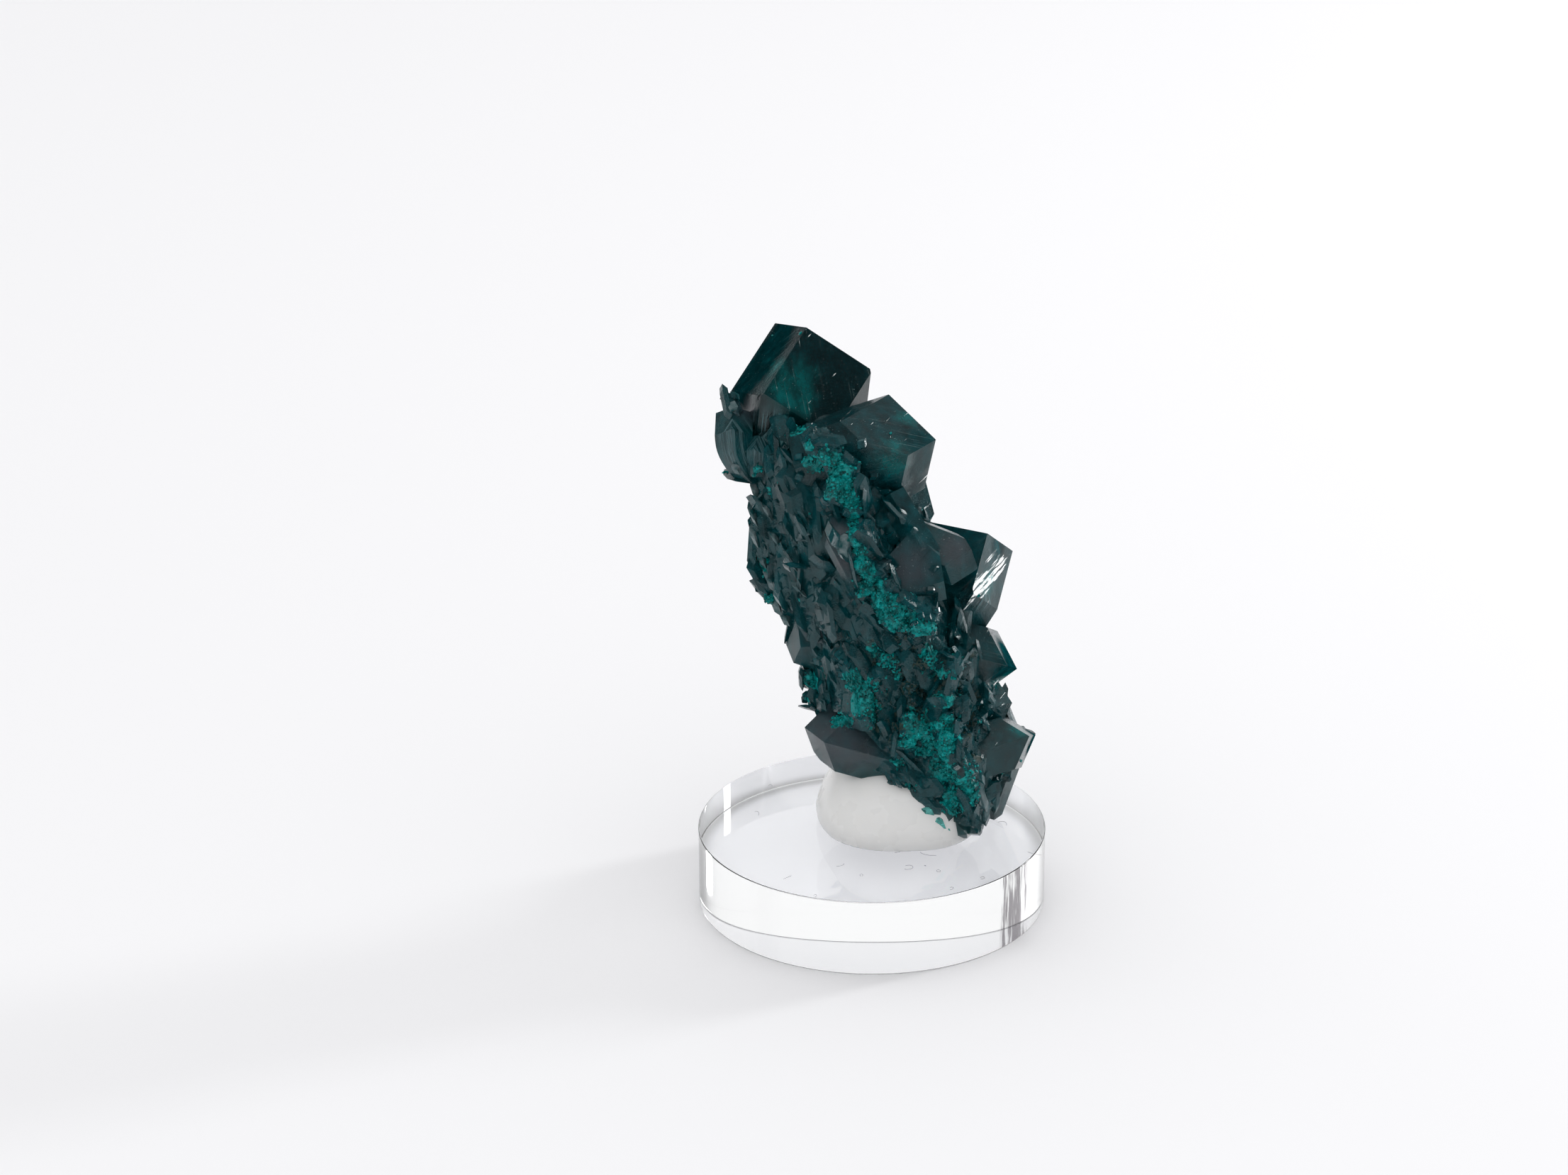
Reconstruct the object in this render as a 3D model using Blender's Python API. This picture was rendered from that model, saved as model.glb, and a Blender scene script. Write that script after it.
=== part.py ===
"""Dioptase crystal cluster fixed with clear putty to a round clear acrylic base.

Everything below is in millimetres until a mesh is made. The photograph looks along +Y, so
-Y is the front, +X is the right of the picture and the base stands on Z = 0.
"""

import itertools
import math
import random

import bpy
import bmesh
import numpy as np
from mathutils import Euler, Vector, noise

MM = 0.001

# Base: a turned disc of clear acrylic
BASE_RADIUS = 12.7
BASE_THICKNESS = 5.7
BASE_EDGE = 0.15
BASE_SIDES = 40

# Air left between two separate pieces
GAP = 0.3

# Round pieces are shaded smooth except where faces meet at more than this
SHARP_ANGLE = 35.0

# Putty: a squarish dome, wide at the foot
PUTTY_CENTRE = (2.1, 1.1)
PUTTY_HALF_X = 5.9
PUTTY_HALF_Y = 5.9
PUTTY_HEIGHT = 6.6
PUTTY_POWER = 2.7
PUTTY_SIDES = 26
PUTTY_RINGS = 8

# Matrix under the crystals: outline at each height, its corners running from the left
# past front left, front right, right and back right to back left
MATRIX_OUTLINES = (
    (6.4, ((5.6, -1.5), (5.9, -2.7), (7.6, -2.7), (8.4, -1.0), (8.0, 0.5), (6.2, 0.5))),
    (8.5, ((3.5, -1.2), (4.4, -3.3), (7.8, -3.4), (9.0, -0.5), (8.6, 2.5), (4.5, 2.5))),
    (10.5, ((0.2, 0.0), (2.2, -2.9), (7.3, -3.9), (9.2, -0.2), (8.8, 4.0), (1.5, 4.5))),
    (13.5, ((-2.9, 1.2), (-0.5, -2.8), (6.0, -4.2), (9.0, 0.5), (8.6, 5.5), (0.0, 6.5))),
    (17.0, ((-4.0, 1.8), (-1.0, -3.0), (5.6, -4.2), (8.8, 1.0), (8.0, 6.5), (-1.0, 8.0))),
    (20.5, ((-5.0, 2.2), (-2.0, -2.4), (4.0, -3.8), (7.3, 1.5), (7.0, 7.5), (-2.5, 9.0))),
    (24.0, ((-7.0, 3.4), (-2.6, -2.2), (2.0, -4.5), (5.2, 0.5), (5.0, 8.0), (-3.5, 10.0))),
    (28.0, ((-8.0, 4.0), (-3.2, -1.2), (-0.4, -3.7), (2.4, -0.5), (3.2, 8.0), (-4.5, 10.5))),
    (32.0, ((-8.5, 4.6), (-5.5, 0.5), (-1.9, -1.9), (1.3, 0.0), (1.5, 8.5), (-5.0, 11.0))),
    (35.0, ((-8.4, 5.4), (-6.3, 3.4), (-2.9, 1.0), (0.0, 2.5), (0.0, 8.5), (-5.5, 11.0))),
    (36.6, ((-7.5, 6.5), (-6.0, 5.5), (-4.0, 4.8), (-2.5, 6.0), (-3.0, 8.5), (-6.0, 9.5))),
)
MATRIX_LEVELS = 20
MATRIX_SIDES = 20
MATRIX_ROUGHNESS = 0.55
MATRIX_GRAIN = 1.9

# Dioptase form: the cap faces lean this far from the long axis of the prism
CAP_LEAN = 51.0

# Feet that reach the base stop at slightly different heights, which Booleans need
FLOOR_STEP = 0.013
FLOOR_STEPS = 17

# Prism faces that all lie equally far out
EVEN = (1.0, 1.0, 1.0, 1.0, 1.0, 1.0)

# Crystals that can be told apart in the photograph:
# tip, direction of the long axis, turn of the first prism face from the front,
# distance from axis to face, length, and how far out each prism face lies
CRYSTALS = (
    # the large top crystal
    ((-4.6, 6.0, 42.1), (0.09, -0.29, 0.95), -3, 4.2, 11.0, (1.02, 1.04, 1.0, 1.0, 0.96, 1.06)),
    # upper right
    ((4.5, 1.0, 35.4), (0.92, -0.15, 0.36), 20, 3.77, 9.5, (0.61, 0.94, 1.2, 1.0, 0.99, 1.05)),
    # middle right, with the striated bright face
    ((8.3, 2.0, 27.8), (0.40, -0.33, 0.85), 35, 3.42, 9.0, (0.99, 0.87, 0.99, 1.0, 1.24, 0.93)),
    # right edge below it
    ((10.6, 2.4, 17.0), (0.94, 0.14, -0.32), 6, 2.36, 7.0, EVEN),
    ((10.2, 0.8, 15.0), (0.96, -0.22, 0.16), 12, 2.1, 5.0, EVEN),
    ((11.95, 0.9, 12.4), (0.91, 0.40, 0.11), 2, 1.95, 8.0, EVEN),
    # lower right corner, with a broad face to the front
    ((8.4, 0.5, 5.3), (-0.34, -0.22, -0.91), 5, 1.45, 7.5, (0.85, 1.5, 1.5, 1.0, 0.5, 0.5)),
    ((7.6, -0.6, 6.2), (0.20, -0.30, -0.93), 20, 1.3, 5.0, EVEN),
    # thin prisms that run down to the tip
    ((6.9, -3.0, 5.8), (0.66, -0.10, -0.74), 0, 0.9, 7.0, EVEN),
    ((7.9, -2.6, 5.9), (0.62, -0.12, -0.77), 20, 0.8, 6.0, EVEN),
    ((6.0, -2.2, 5.9), (0.68, -0.05, -0.73), 30, 0.5, 6.0, EVEN),
    # striated pair on the left under the top crystal
    ((-9.9, 4.2, 36.8), (-0.05, -0.15, 0.99), 25, 1.35, 5.5, EVEN),
    ((-8.1, 3.4, 34.9), (0.02, -0.20, 0.98), 10, 0.85, 3.0, EVEN),
    # lone hexagonal crystal on the left edge
    ((-3.5, 0.3, 22.0), (0.27, -0.45, 0.85), 57, 1.48, 4.0, EVEN),
    # large lower left crystal, over the putty
    ((-4.9, -1.7, 14.3), (-0.95, -0.05, 0.31), 35, 2.12, 8.0, (0.84, 0.99, 1.0, 0.94, 1.14, 0.85)),
    ((-3.4, -0.9, 17.0), (-0.20, -0.30, 0.93), 0, 0.75, 3.5, EVEN),
    ((-3.0, 0.3, 15.9), (-0.50, 0.10, 0.86), 20, 1.4, 5.0, EVEN),
    # crystals beside the green ridge, each with a broad face to the front
    ((-3.0, -2.6, 31.0), (-0.46, 0.14, 0.88), 3, 1.2, 6.0, (0.7, 1.0, 1.0, 1.0, 1.0, 1.0)),
    ((5.2, -3.4, 25.0), (0.74, -0.38, -0.56), -23, 2.2, 5.0, (0.55, 1.0, 1.0, 1.0, 1.0, 1.0)),
    ((4.3, -2.2, 26.9), (0.50, -0.41, -0.76), -41, 1.1, 6.0, EVEN),
    ((7.5, -1.2, 26.4), (0.91, -0.30, -0.27), -45, 1.7, 5.5, (0.7, 1.0, 1.0, 1.0, 1.0, 1.0)),
    ((3.2, 0.4, 29.3), (0.70, -0.30, 0.55), 40, 1.9, 6.0, EVEN),
    ((1.6, -1.6, 31.0), (0.45, -0.60, 0.50), 10, 1.6, 5.0, EVEN),
    # broken faces in the lower right
    ((7.0, -2.0, 20.2), (0.50, -0.80, 0.30), 50, 1.4, 4.5, EVEN),
    ((7.6, -2.9, 15.2), (0.50, -0.82, 0.20), 45, 1.5, 4.0, EVEN),
    ((9.9, -1.5, 12.5), (0.55, -0.80, 0.20), 30, 1.7, 4.5, EVEN),
    ((8.9, -2.4, 9.7), (0.45, -0.88, -0.05), 10, 1.8, 4.5, EVEN),
    # green nubs on the left edge
    ((-10.4, 4.2, 37.8), (-0.40, -0.10, 0.90), 0, 0.5, 1.8, EVEN),
    ((-5.2, 0.8, 17.7), (-0.60, -0.20, 0.75), 0, 0.55, 2.2, EVEN),
    ((-5.0, 0.4, 15.9), (-0.92, -0.20, 0.30), 10, 0.85, 2.8, EVEN),
    # far side, which the photograph doesn't show
    ((6.8, 8.2, 23.5), (0.75, 0.50, 0.45), 0, 2.8, 7.0, EVEN),
    ((3.6, 9.6, 30.5), (0.45, 0.70, 0.55), 20, 2.7, 7.0, EVEN),
    ((9.6, 6.6, 15.2), (0.85, 0.50, 0.10), 10, 2.3, 6.0, EVEN),
    ((-1.2, 12.8, 27.2), (-0.05, 0.94, 0.33), 15, 2.6, 6.0, EVEN),
    ((-3.6, 11.2, 19.5), (-0.35, 0.93, 0.05), 5, 2.3, 5.5, EVEN),
    ((2.6, 10.6, 14.8), (0.10, 0.97, -0.20), 25, 2.2, 6.0, EVEN),
    ((-8.3, 10.0, 32.5), (-0.65, 0.60, 0.45), 10, 2.1, 5.5, EVEN),
    ((-7.9, 8.2, 24.6), (-0.80, 0.58, 0.15), 30, 1.9, 5.0, EVEN),
    ((4.4, 6.8, 9.6), (0.25, 0.85, -0.45), 0, 1.8, 5.0, EVEN),
)

# Small crystals strewn over a face of the matrix: two corners of the outline to strew
# between, the height range, how many, smallest and largest face distance, the share that
# lies flat in the direction after it, and a seed
FIELDS = (
    ((0, 1), (17.0, 35.0), 44, 0.9, 1.7, 0.85, (-0.34, -0.05, 0.93), 7),
    ((1, 2), (8.5, 15.0), 12, 0.6, 1.1, 0.70, (-0.62, 0.10, 0.77), 11),
    ((2, 3), (9.0, 22.0), 12, 0.8, 1.4, 0.70, (0.20, 0.10, 0.95), 13),
    ((4, 5), (10.0, 34.0), 9, 1.5, 2.4, 0.45, (-0.30, 0.10, 0.95), 17),
    ((5, 0), (14.0, 33.0), 7, 1.3, 2.1, 0.45, (-0.30, 0.10, 0.95), 23),
    ((3, 4), (9.5, 31.0), 6, 1.4, 2.2, 0.45, (-0.30, 0.10, 0.95), 31),
)
FIELD_SINK = 0.7
FIELD_RISE = (0.15, 0.65)
FIELD_FLATNESS = 0.6
FIELD_LEAN_SPREAD = 0.14
FIELD_SPIN_SPREAD = 9.0

# Turn from one point of an even spread to the next, as a share of a full turn
GOLDEN_SHARE = 0.618

# Sugary green lumps: path through points as (place, spread), how many, size range, seed.
# Each lump is the hull of LUMP_POINTS points.
LUMP_POINTS = 11
LUMP_SINK = 0.6
SEAMS = (
    ((((-2.9, -1.6, 35.2), 1.3), ((-2.2, -2.2, 33.2), 0.9)), 8, (0.9, 1.3), 37),
    (
        (
            ((-2.2, -2.6, 32.6), 0.5),
            ((-1.0, -3.7, 29.2), 0.4),
            ((-0.2, -4.5, 26.3), 0.7),
            ((1.5, -5.0, 24.7), 0.7),
            ((3.4, -4.9, 23.9), 0.4),
        ),
        22,
        (1.15, 1.6),
        41,
    ),
    (
        (
            ((5.4, -4.0, 20.0), 0.5),
            ((5.5, -4.5, 15.0), 0.6),
            ((6.1, -4.1, 12.2), 0.7),
            ((6.7, -3.6, 10.5), 0.6),
        ),
        18,
        (1.0, 1.45),
        43,
    ),
    (
        (
            ((-1.8, -2.9, 20.6), 1.0),
            ((0.6, -3.5, 19.5), 1.2),
            ((0.6, -3.6, 16.8), 1.0),
            ((3.4, -4.3, 14.6), 1.1),
            ((3.0, -3.6, 11.0), 1.0),
        ),
        24,
        (0.9, 1.45),
        47,
    ),
    ((((-8.3, 3.4, 25.0), 0.4), ((-7.0, 3.0, 21.9), 0.4)), 6, (0.45, 0.65), 53),
)

# Dark pits in the broken front: centre and radius
PITS = (
    ((0.6, -3.8, 22.8), 1.0),
    ((2.9, -4.0, 21.3), 1.2),
    ((3.6, -4.1, 17.6), 1.3),
    ((1.9, -3.7, 19.2), 0.9),
    ((7.2, -2.2, 17.3), 1.3),
    ((1.9, -3.4, 12.6), 1.0),
)
PIT_SEED = 61


def clear_scene():
    for thing in list(bpy.data.objects):
        bpy.data.objects.remove(thing, do_unlink=True)


def make_material(name, colour, roughness):
    material = bpy.data.materials.new(name)
    material.use_nodes = True
    surface = material.node_tree.nodes["Principled BSDF"]
    surface.inputs["Base Color"].default_value = (*colour, 1.0)
    surface.inputs["Roughness"].default_value = roughness
    surface.inputs["Metallic"].default_value = 0.0
    return material


def add_object(name, points, faces, home=None):
    """A mesh object from points in millimetres, with its normals turned outwards."""
    mesh = bpy.data.meshes.new(name)
    mesh.from_pydata([[value * MM for value in point] for point in points], [], faces)
    shell = bmesh.new()
    shell.from_mesh(mesh)
    bmesh.ops.recalc_face_normals(shell, faces=shell.faces)
    shell.to_mesh(mesh)
    shell.free()
    made = bpy.data.objects.new(name, mesh)
    (home or bpy.context.scene.collection).objects.link(made)
    if home is not None:
        made.hide_render = True
        made.display_type = "WIRE"
    return made


def add_hull(name, points, home):
    """The convex hull of the points, with its flat faces left whole."""
    shell = bmesh.new()
    for point in points:
        shell.verts.new(Vector(point) * MM)
    hull = bmesh.ops.convex_hull(shell, input=shell.verts)
    spare = [part for part in hull["geom_interior"] + hull["geom_unused"]
             if isinstance(part, bmesh.types.BMVert)]
    bmesh.ops.delete(shell, geom=list(set(spare)), context="VERTS")
    bmesh.ops.dissolve_limit(
        shell, angle_limit=0.002, verts=shell.verts, edges=shell.edges)
    bmesh.ops.recalc_face_normals(shell, faces=shell.faces)
    mesh = bpy.data.meshes.new(name)
    shell.to_mesh(mesh)
    shell.free()
    made = bpy.data.objects.new(name, mesh)
    made.hide_render = True
    made.display_type = "WIRE"
    home.objects.link(made)
    return made


def floor_for(index):
    """Lowest height of a crystal. No two stop in one plane, which a Boolean handles badly."""
    return BASE_THICKNESS + GAP + FLOOR_STEP * (index % FLOOR_STEPS)


def around(axis):
    """Two directions square to a long axis: the one nearest the front, and the next."""
    front = np.array((0.0, -1.0, 0.0)) if abs(axis[1]) < 0.9 else np.array((0.0, 0.0, 1.0))
    front = front - front.dot(axis) * axis
    front /= np.linalg.norm(front)
    return front, np.cross(axis, front)


def turn_towards(axis, outward):
    """The turn in degrees that points the first prism face outwards."""
    front, side = around(np.array(axis))
    return math.degrees(math.atan2(side.dot(outward), front.dot(outward)))


def crystal_corners(tip, axis, spin, radius, length, widths, floor, grow):
    """Corners of a six-sided prism with three cap faces at the tip and a flat foot."""
    tip = np.array(tip)
    axis = np.array(axis) / np.linalg.norm(axis)
    front, side = around(axis)
    normals = []
    distances = []
    for face, width in enumerate(widths):
        turn = math.radians(spin + 60 * face)
        normal = math.cos(turn) * front + math.sin(turn) * side
        normals.append(normal)
        distances.append(normal.dot(tip) + radius * width + grow)
    lean = math.radians(CAP_LEAN)
    for face in range(3):
        turn = math.radians(spin + 30 + 120 * face)
        outward = math.cos(turn) * front + math.sin(turn) * side
        normal = math.sin(lean) * outward + math.cos(lean) * axis
        normals.append(normal)
        distances.append(normal.dot(tip) + grow)
    normals.append(-axis)
    distances.append(length - axis.dot(tip) + grow)
    normals.append(np.array((0.0, 0.0, -1.0)))
    distances.append(-floor)
    normals = np.array(normals)
    distances = np.array(distances)
    corners = []
    for chosen in itertools.combinations(range(len(normals)), 3):
        three = normals[list(chosen)]
        if abs(np.linalg.det(three)) < 1e-4:
            continue
        point = np.linalg.solve(three, distances[list(chosen)])
        if np.all(normals @ point <= distances + 1e-6):
            corners.append(point)
    return np.unique(np.round(corners, 5), axis=0)


def lump_corners(centre, size, dice, grow):
    """Corners of an angular grain."""
    tumble = Euler([dice.uniform(0, math.tau) for _ in range(3)])
    points = []
    for index in range(LUMP_POINTS):
        rise = 1 - (2 * index + 1) / LUMP_POINTS
        turn = index * math.tau * GOLDEN_SHARE + dice.uniform(-0.4, 0.4)
        wide = math.sqrt(1 - rise * rise)
        way = Vector((wide * math.cos(turn), wide * math.sin(turn), rise))
        way.rotate(tumble)
        points.append(Vector(centre) + way * (size * dice.uniform(0.85, 1.15) + grow))
    return points


def outline_at(height):
    """The six corners of the matrix at a height, between the rows of the table."""
    rows = MATRIX_OUTLINES
    height = min(max(height, rows[0][0]), rows[-1][0])
    for (low, first), (high, second) in zip(rows, rows[1:]):
        if height <= high:
            share = (height - low) / (high - low)
            return [Vector(a).lerp(Vector(b), share) for a, b in zip(first, second)]
    return [Vector(corner) for corner in rows[-1][1]]


def along_outline(corners, share):
    """The point this share of the way round the outline."""
    sides = list(zip(corners, corners[1:] + corners[:1]))
    left = share * sum((b - a).length for a, b in sides)
    for a, b in sides:
        if left <= (b - a).length:
            return a.lerp(b, left / (b - a).length)
        left -= (b - a).length
    return corners[0].copy()


def add_matrix(name, home, grow):
    """The rough mass that the crystals sit on."""
    low = MATRIX_OUTLINES[0][0]
    high = MATRIX_OUTLINES[-1][0]
    points = []
    for level in range(MATRIX_LEVELS):
        height = low + (high - low) * level / (MATRIX_LEVELS - 1)
        corners = outline_at(height)
        middle = sum(corners, Vector((0, 0))) / len(corners)
        for side in range(MATRIX_SIDES):
            edge = along_outline(corners, side / MATRIX_SIDES)
            place = Vector((edge.x, edge.y, height))
            outward = Vector((edge.x - middle.x, edge.y - middle.y, 0)).normalized()
            wobble = noise.noise(place / MATRIX_GRAIN) + 0.5 * noise.noise(place * 1.3)
            points.append(place + outward * (wobble * MATRIX_ROUGHNESS + grow))
    for end in (0, MATRIX_LEVELS - 1):
        ring = points[end * MATRIX_SIDES:(end + 1) * MATRIX_SIDES]
        centre = sum(ring, Vector((0, 0, 0))) / MATRIX_SIDES
        points.append(centre + Vector((0, 0, grow if end else -grow)))
    faces = []
    for level in range(MATRIX_LEVELS - 1):
        for side in range(MATRIX_SIDES):
            here = level * MATRIX_SIDES + side
            beside = level * MATRIX_SIDES + (side + 1) % MATRIX_SIDES
            faces.append((here, beside, beside + MATRIX_SIDES))
            faces.append((here, beside + MATRIX_SIDES, here + MATRIX_SIDES))
    last = (MATRIX_LEVELS - 1) * MATRIX_SIDES
    for side in range(MATRIX_SIDES):
        beside = (side + 1) % MATRIX_SIDES
        faces.append((beside, side, len(points) - 2))
        faces.append((last + side, last + beside, len(points) - 1))
    return add_object(name, points, faces, home)


def add_fields(home, grow):
    """Small crystals strewn over the faces of the matrix, most of them lying flat."""
    for (first, second), (low, high), count, smallest, largest, flat, run, seed in FIELDS:
        dice = random.Random(seed)
        for index in range(count):
            height = low + (high - low) * (index + dice.random()) / count
            share = (index * GOLDEN_SHARE + dice.uniform(-0.06, 0.06)) % 1.0
            corners = outline_at(height)
            place = corners[first].lerp(corners[second], share)
            edge = corners[second] - corners[first]
            outward = Vector((-edge.y, edge.x, 0)).normalized()
            middle = sum(corners, Vector((0, 0))) / len(corners)
            if outward.xy.dot(place - middle) < 0:
                outward = -outward
            place = Vector((place.x, place.y, height))
            radius = dice.uniform(smallest, largest)
            scatter = Vector((dice.gauss(0, 1), dice.gauss(0, 1), dice.gauss(0, 1)))
            length = radius * dice.uniform(2.6, 3.6)
            widths = [dice.uniform(0.8, 1.15) for _ in range(6)]
            spin = dice.uniform(0, 120)
            if dice.random() < flat:
                axis = Vector(run) + scatter * FIELD_LEAN_SPREAD
                axis = (axis - outward * axis.dot(outward)).normalized()
                widths[0] = FIELD_FLATNESS
                spin = turn_towards(axis, outward) + dice.gauss(0, FIELD_SPIN_SPREAD)
                sunk = radius * FIELD_FLATNESS - dice.uniform(*FIELD_RISE)
                tip = place - outward * sunk + axis * length * 0.5
            else:
                axis = (outward + Vector((0, 0, 0.45)) + scatter * 0.3).normalized()
                tip = place - outward * radius * FIELD_SINK + axis * radius * 1.4
            corners = crystal_corners(
                tip, axis, spin, radius, length, widths, floor_for(index), grow)
            add_hull(f"field_{seed}_{index}", corners, home)


def add_seams(home, grow):
    """Green sugary lumps along the broken edges."""
    for stops, count, (smallest, largest), seed in SEAMS:
        dice = random.Random(seed)
        for index in range(count):
            spot = (index + dice.random()) / count * (len(stops) - 1)
            (start, start_spread), (end, end_spread) = stops[int(spot)], stops[int(spot) + 1]
            share = spot - int(spot)
            spread = start_spread + (end_spread - start_spread) * share
            centre = Vector(start).lerp(Vector(end), share)
            centre += Vector((dice.uniform(-1, 1) * spread, dice.uniform(-0.1, 0.7) * spread + LUMP_SINK,
                              dice.uniform(-1, 1) * spread))
            size = dice.uniform(smallest, largest)
            add_hull(f"lump_{seed}_{index}", lump_corners(centre, size, dice, grow), home)


def add_growths(home, grow):
    """Every crystal and lump that is fused to the matrix."""
    for index, (tip, axis, spin, radius, length, widths) in enumerate(CRYSTALS):
        corners = crystal_corners(
            tip, axis, spin, radius, length, widths, floor_for(index), grow)
        add_hull(f"crystal_{index}", corners, home)
    add_fields(home, grow)
    add_seams(home, grow)


def shade_round(made):
    """Smooth shading that keeps the hard edges."""
    made.data.shade_smooth()
    made.data.set_sharp_from_angle(angle=math.radians(SHARP_ANGLE))


def keep_largest_shell(mesh):
    """Drops sealed holes and loose crumbs, which are shells of their own."""
    shell = bmesh.new()
    shell.from_mesh(mesh)
    waiting = set(shell.verts)
    pieces = []
    while waiting:
        reached = [waiting.pop()]
        piece = set(reached)
        while reached:
            corner = reached.pop()
            for edge in corner.link_edges:
                other = edge.other_vert(corner)
                if other not in piece:
                    piece.add(other)
                    reached.append(other)
        waiting -= piece
        pieces.append(piece)
    largest = max(pieces, key=len)
    spare = [corner for corner in shell.verts if corner not in largest]
    bmesh.ops.delete(shell, geom=spare, context="VERTS")
    shell.to_mesh(mesh)
    shell.free()


def combine(target, home, operation):
    """A Boolean with a whole collection, made part of the mesh at once."""
    cut = target.modifiers.new(operation.title(), "BOOLEAN")
    cut.operation = operation
    cut.operand_type = "COLLECTION"
    cut.collection = home
    cut.solver = "EXACT"
    bpy.context.view_layer.update()
    graph = bpy.context.evaluated_depsgraph_get()
    mesh = bpy.data.meshes.new_from_object(target.evaluated_get(graph))
    target.modifiers.clear()
    keep_largest_shell(mesh)
    target.data = mesh


def new_collection(name):
    made = bpy.data.collections.new(name)
    bpy.context.scene.collection.children.link(made)
    return made


def build_base():
    """The clear disc, with a fine bevel on both rims."""
    profile = (
        (BASE_RADIUS - BASE_EDGE, 0.0),
        (BASE_RADIUS, BASE_EDGE),
        (BASE_RADIUS, BASE_THICKNESS - BASE_EDGE),
        (BASE_RADIUS - BASE_EDGE, BASE_THICKNESS),
    )
    points = []
    for radius, height in profile:
        for side in range(BASE_SIDES):
            turn = math.tau * side / BASE_SIDES
            points.append((radius * math.cos(turn), radius * math.sin(turn), height))
    faces = []
    for ring in range(len(profile) - 1):
        for side in range(BASE_SIDES):
            here = ring * BASE_SIDES + side
            beside = ring * BASE_SIDES + (side + 1) % BASE_SIDES
            faces.append((here, beside, beside + BASE_SIDES, here + BASE_SIDES))
    top = (len(profile) - 1) * BASE_SIDES
    faces.append(tuple(range(BASE_SIDES - 1, -1, -1)))
    faces.append(tuple(range(top, top + BASE_SIDES)))
    base = add_object("acrylic_base", points, faces)
    shade_round(base)
    return base


def build_cluster():
    """All the crystals and the matrix under them as one solid."""
    growths = new_collection("growths")
    pits = new_collection("pits")
    add_growths(growths, 0.0)
    dice = random.Random(PIT_SEED)
    for index, (centre, radius) in enumerate(PITS):
        add_hull(f"pit_{index}", lump_corners(centre, radius, dice, 0.0), pits)
    cluster = add_matrix("dioptase_cluster", None, 0.0)
    combine(cluster, pits, "DIFFERENCE")
    combine(cluster, growths, "UNION")
    return cluster


def build_putty():
    """The dome of putty, cut back from whatever stands in it."""
    foot = BASE_THICKNESS + GAP
    points = []
    for ring in range(PUTTY_RINGS):
        rise = math.pi / 2 * ring / PUTTY_RINGS
        wide = math.cos(rise) ** (2 / PUTTY_POWER)
        high = math.sin(rise) ** (2 / PUTTY_POWER)
        for side in range(PUTTY_SIDES):
            turn = math.tau * side / PUTTY_SIDES
            points.append((
                PUTTY_CENTRE[0] + PUTTY_HALF_X * wide * math.cos(turn),
                PUTTY_CENTRE[1] + PUTTY_HALF_Y * wide * math.sin(turn),
                foot + PUTTY_HEIGHT * high,
            ))
    points.append((*PUTTY_CENTRE, foot + PUTTY_HEIGHT))
    faces = [tuple(range(PUTTY_SIDES - 1, -1, -1))]
    for ring in range(PUTTY_RINGS - 1):
        for side in range(PUTTY_SIDES):
            here = ring * PUTTY_SIDES + side
            beside = ring * PUTTY_SIDES + (side + 1) % PUTTY_SIDES
            faces.append((here, beside, beside + PUTTY_SIDES, here + PUTTY_SIDES))
    last = (PUTTY_RINGS - 1) * PUTTY_SIDES
    for side in range(PUTTY_SIDES):
        faces.append((last + side, last + (side + 1) % PUTTY_SIDES, len(points) - 1))
    putty = add_object("mounting_putty", points, faces)
    room = new_collection("room_for_cluster")
    add_growths(room, GAP)
    add_matrix("matrix_room", room, GAP)
    combine(putty, room, "DIFFERENCE")
    shade_round(putty)
    return putty


def main():
    clear_scene()
    base = build_base()
    base.data.materials.append(make_material("clear_acrylic", (0.90, 0.93, 0.93), 0.05))
    cluster = build_cluster()
    cluster.data.materials.clear()
    cluster.data.materials.append(make_material("dioptase", (0.01, 0.09, 0.08), 0.2))
    putty = build_putty()
    putty.data.materials.clear()
    putty.data.materials.append(make_material("milky_putty", (0.78, 0.80, 0.79), 0.25))


main()
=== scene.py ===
"""Dioptase crystals in milky putty on a clear acrylic disc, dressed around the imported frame.

Lengths in the tables are millimetres, or pixels of the photograph where a comment says so.
"""

import math
from itertools import combinations

import bpy
import bmesh
import numpy as np
from mathutils import Matrix, Vector, noise
from mathutils.bvhtree import BVHTree


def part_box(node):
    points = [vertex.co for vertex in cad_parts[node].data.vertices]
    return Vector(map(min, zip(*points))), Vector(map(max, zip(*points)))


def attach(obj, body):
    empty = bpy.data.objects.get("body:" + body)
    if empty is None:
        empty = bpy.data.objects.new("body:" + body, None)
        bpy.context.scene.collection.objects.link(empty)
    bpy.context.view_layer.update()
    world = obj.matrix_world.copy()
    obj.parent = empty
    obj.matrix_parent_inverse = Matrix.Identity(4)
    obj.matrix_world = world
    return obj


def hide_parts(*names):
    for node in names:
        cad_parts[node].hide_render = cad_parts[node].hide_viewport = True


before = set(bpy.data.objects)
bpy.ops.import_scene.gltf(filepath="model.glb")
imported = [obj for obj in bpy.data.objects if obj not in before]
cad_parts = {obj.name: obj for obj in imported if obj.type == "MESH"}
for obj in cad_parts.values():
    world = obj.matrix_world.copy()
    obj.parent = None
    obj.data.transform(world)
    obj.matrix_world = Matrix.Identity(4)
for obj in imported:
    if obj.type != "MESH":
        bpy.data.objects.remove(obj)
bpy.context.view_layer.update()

bl_info = {
    "name": "Dioptase on a Clear Base",
    "version": (1, 0, 0),
    "blender": (4, 5, 0),
    "location": "3D View > Sidebar > Dioptase",
    "description": "Builds the crystals, putty, clear base and stage around the packed frame",
    "category": "Add Mesh",
}

MM = 0.001
BODY = "root"

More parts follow.
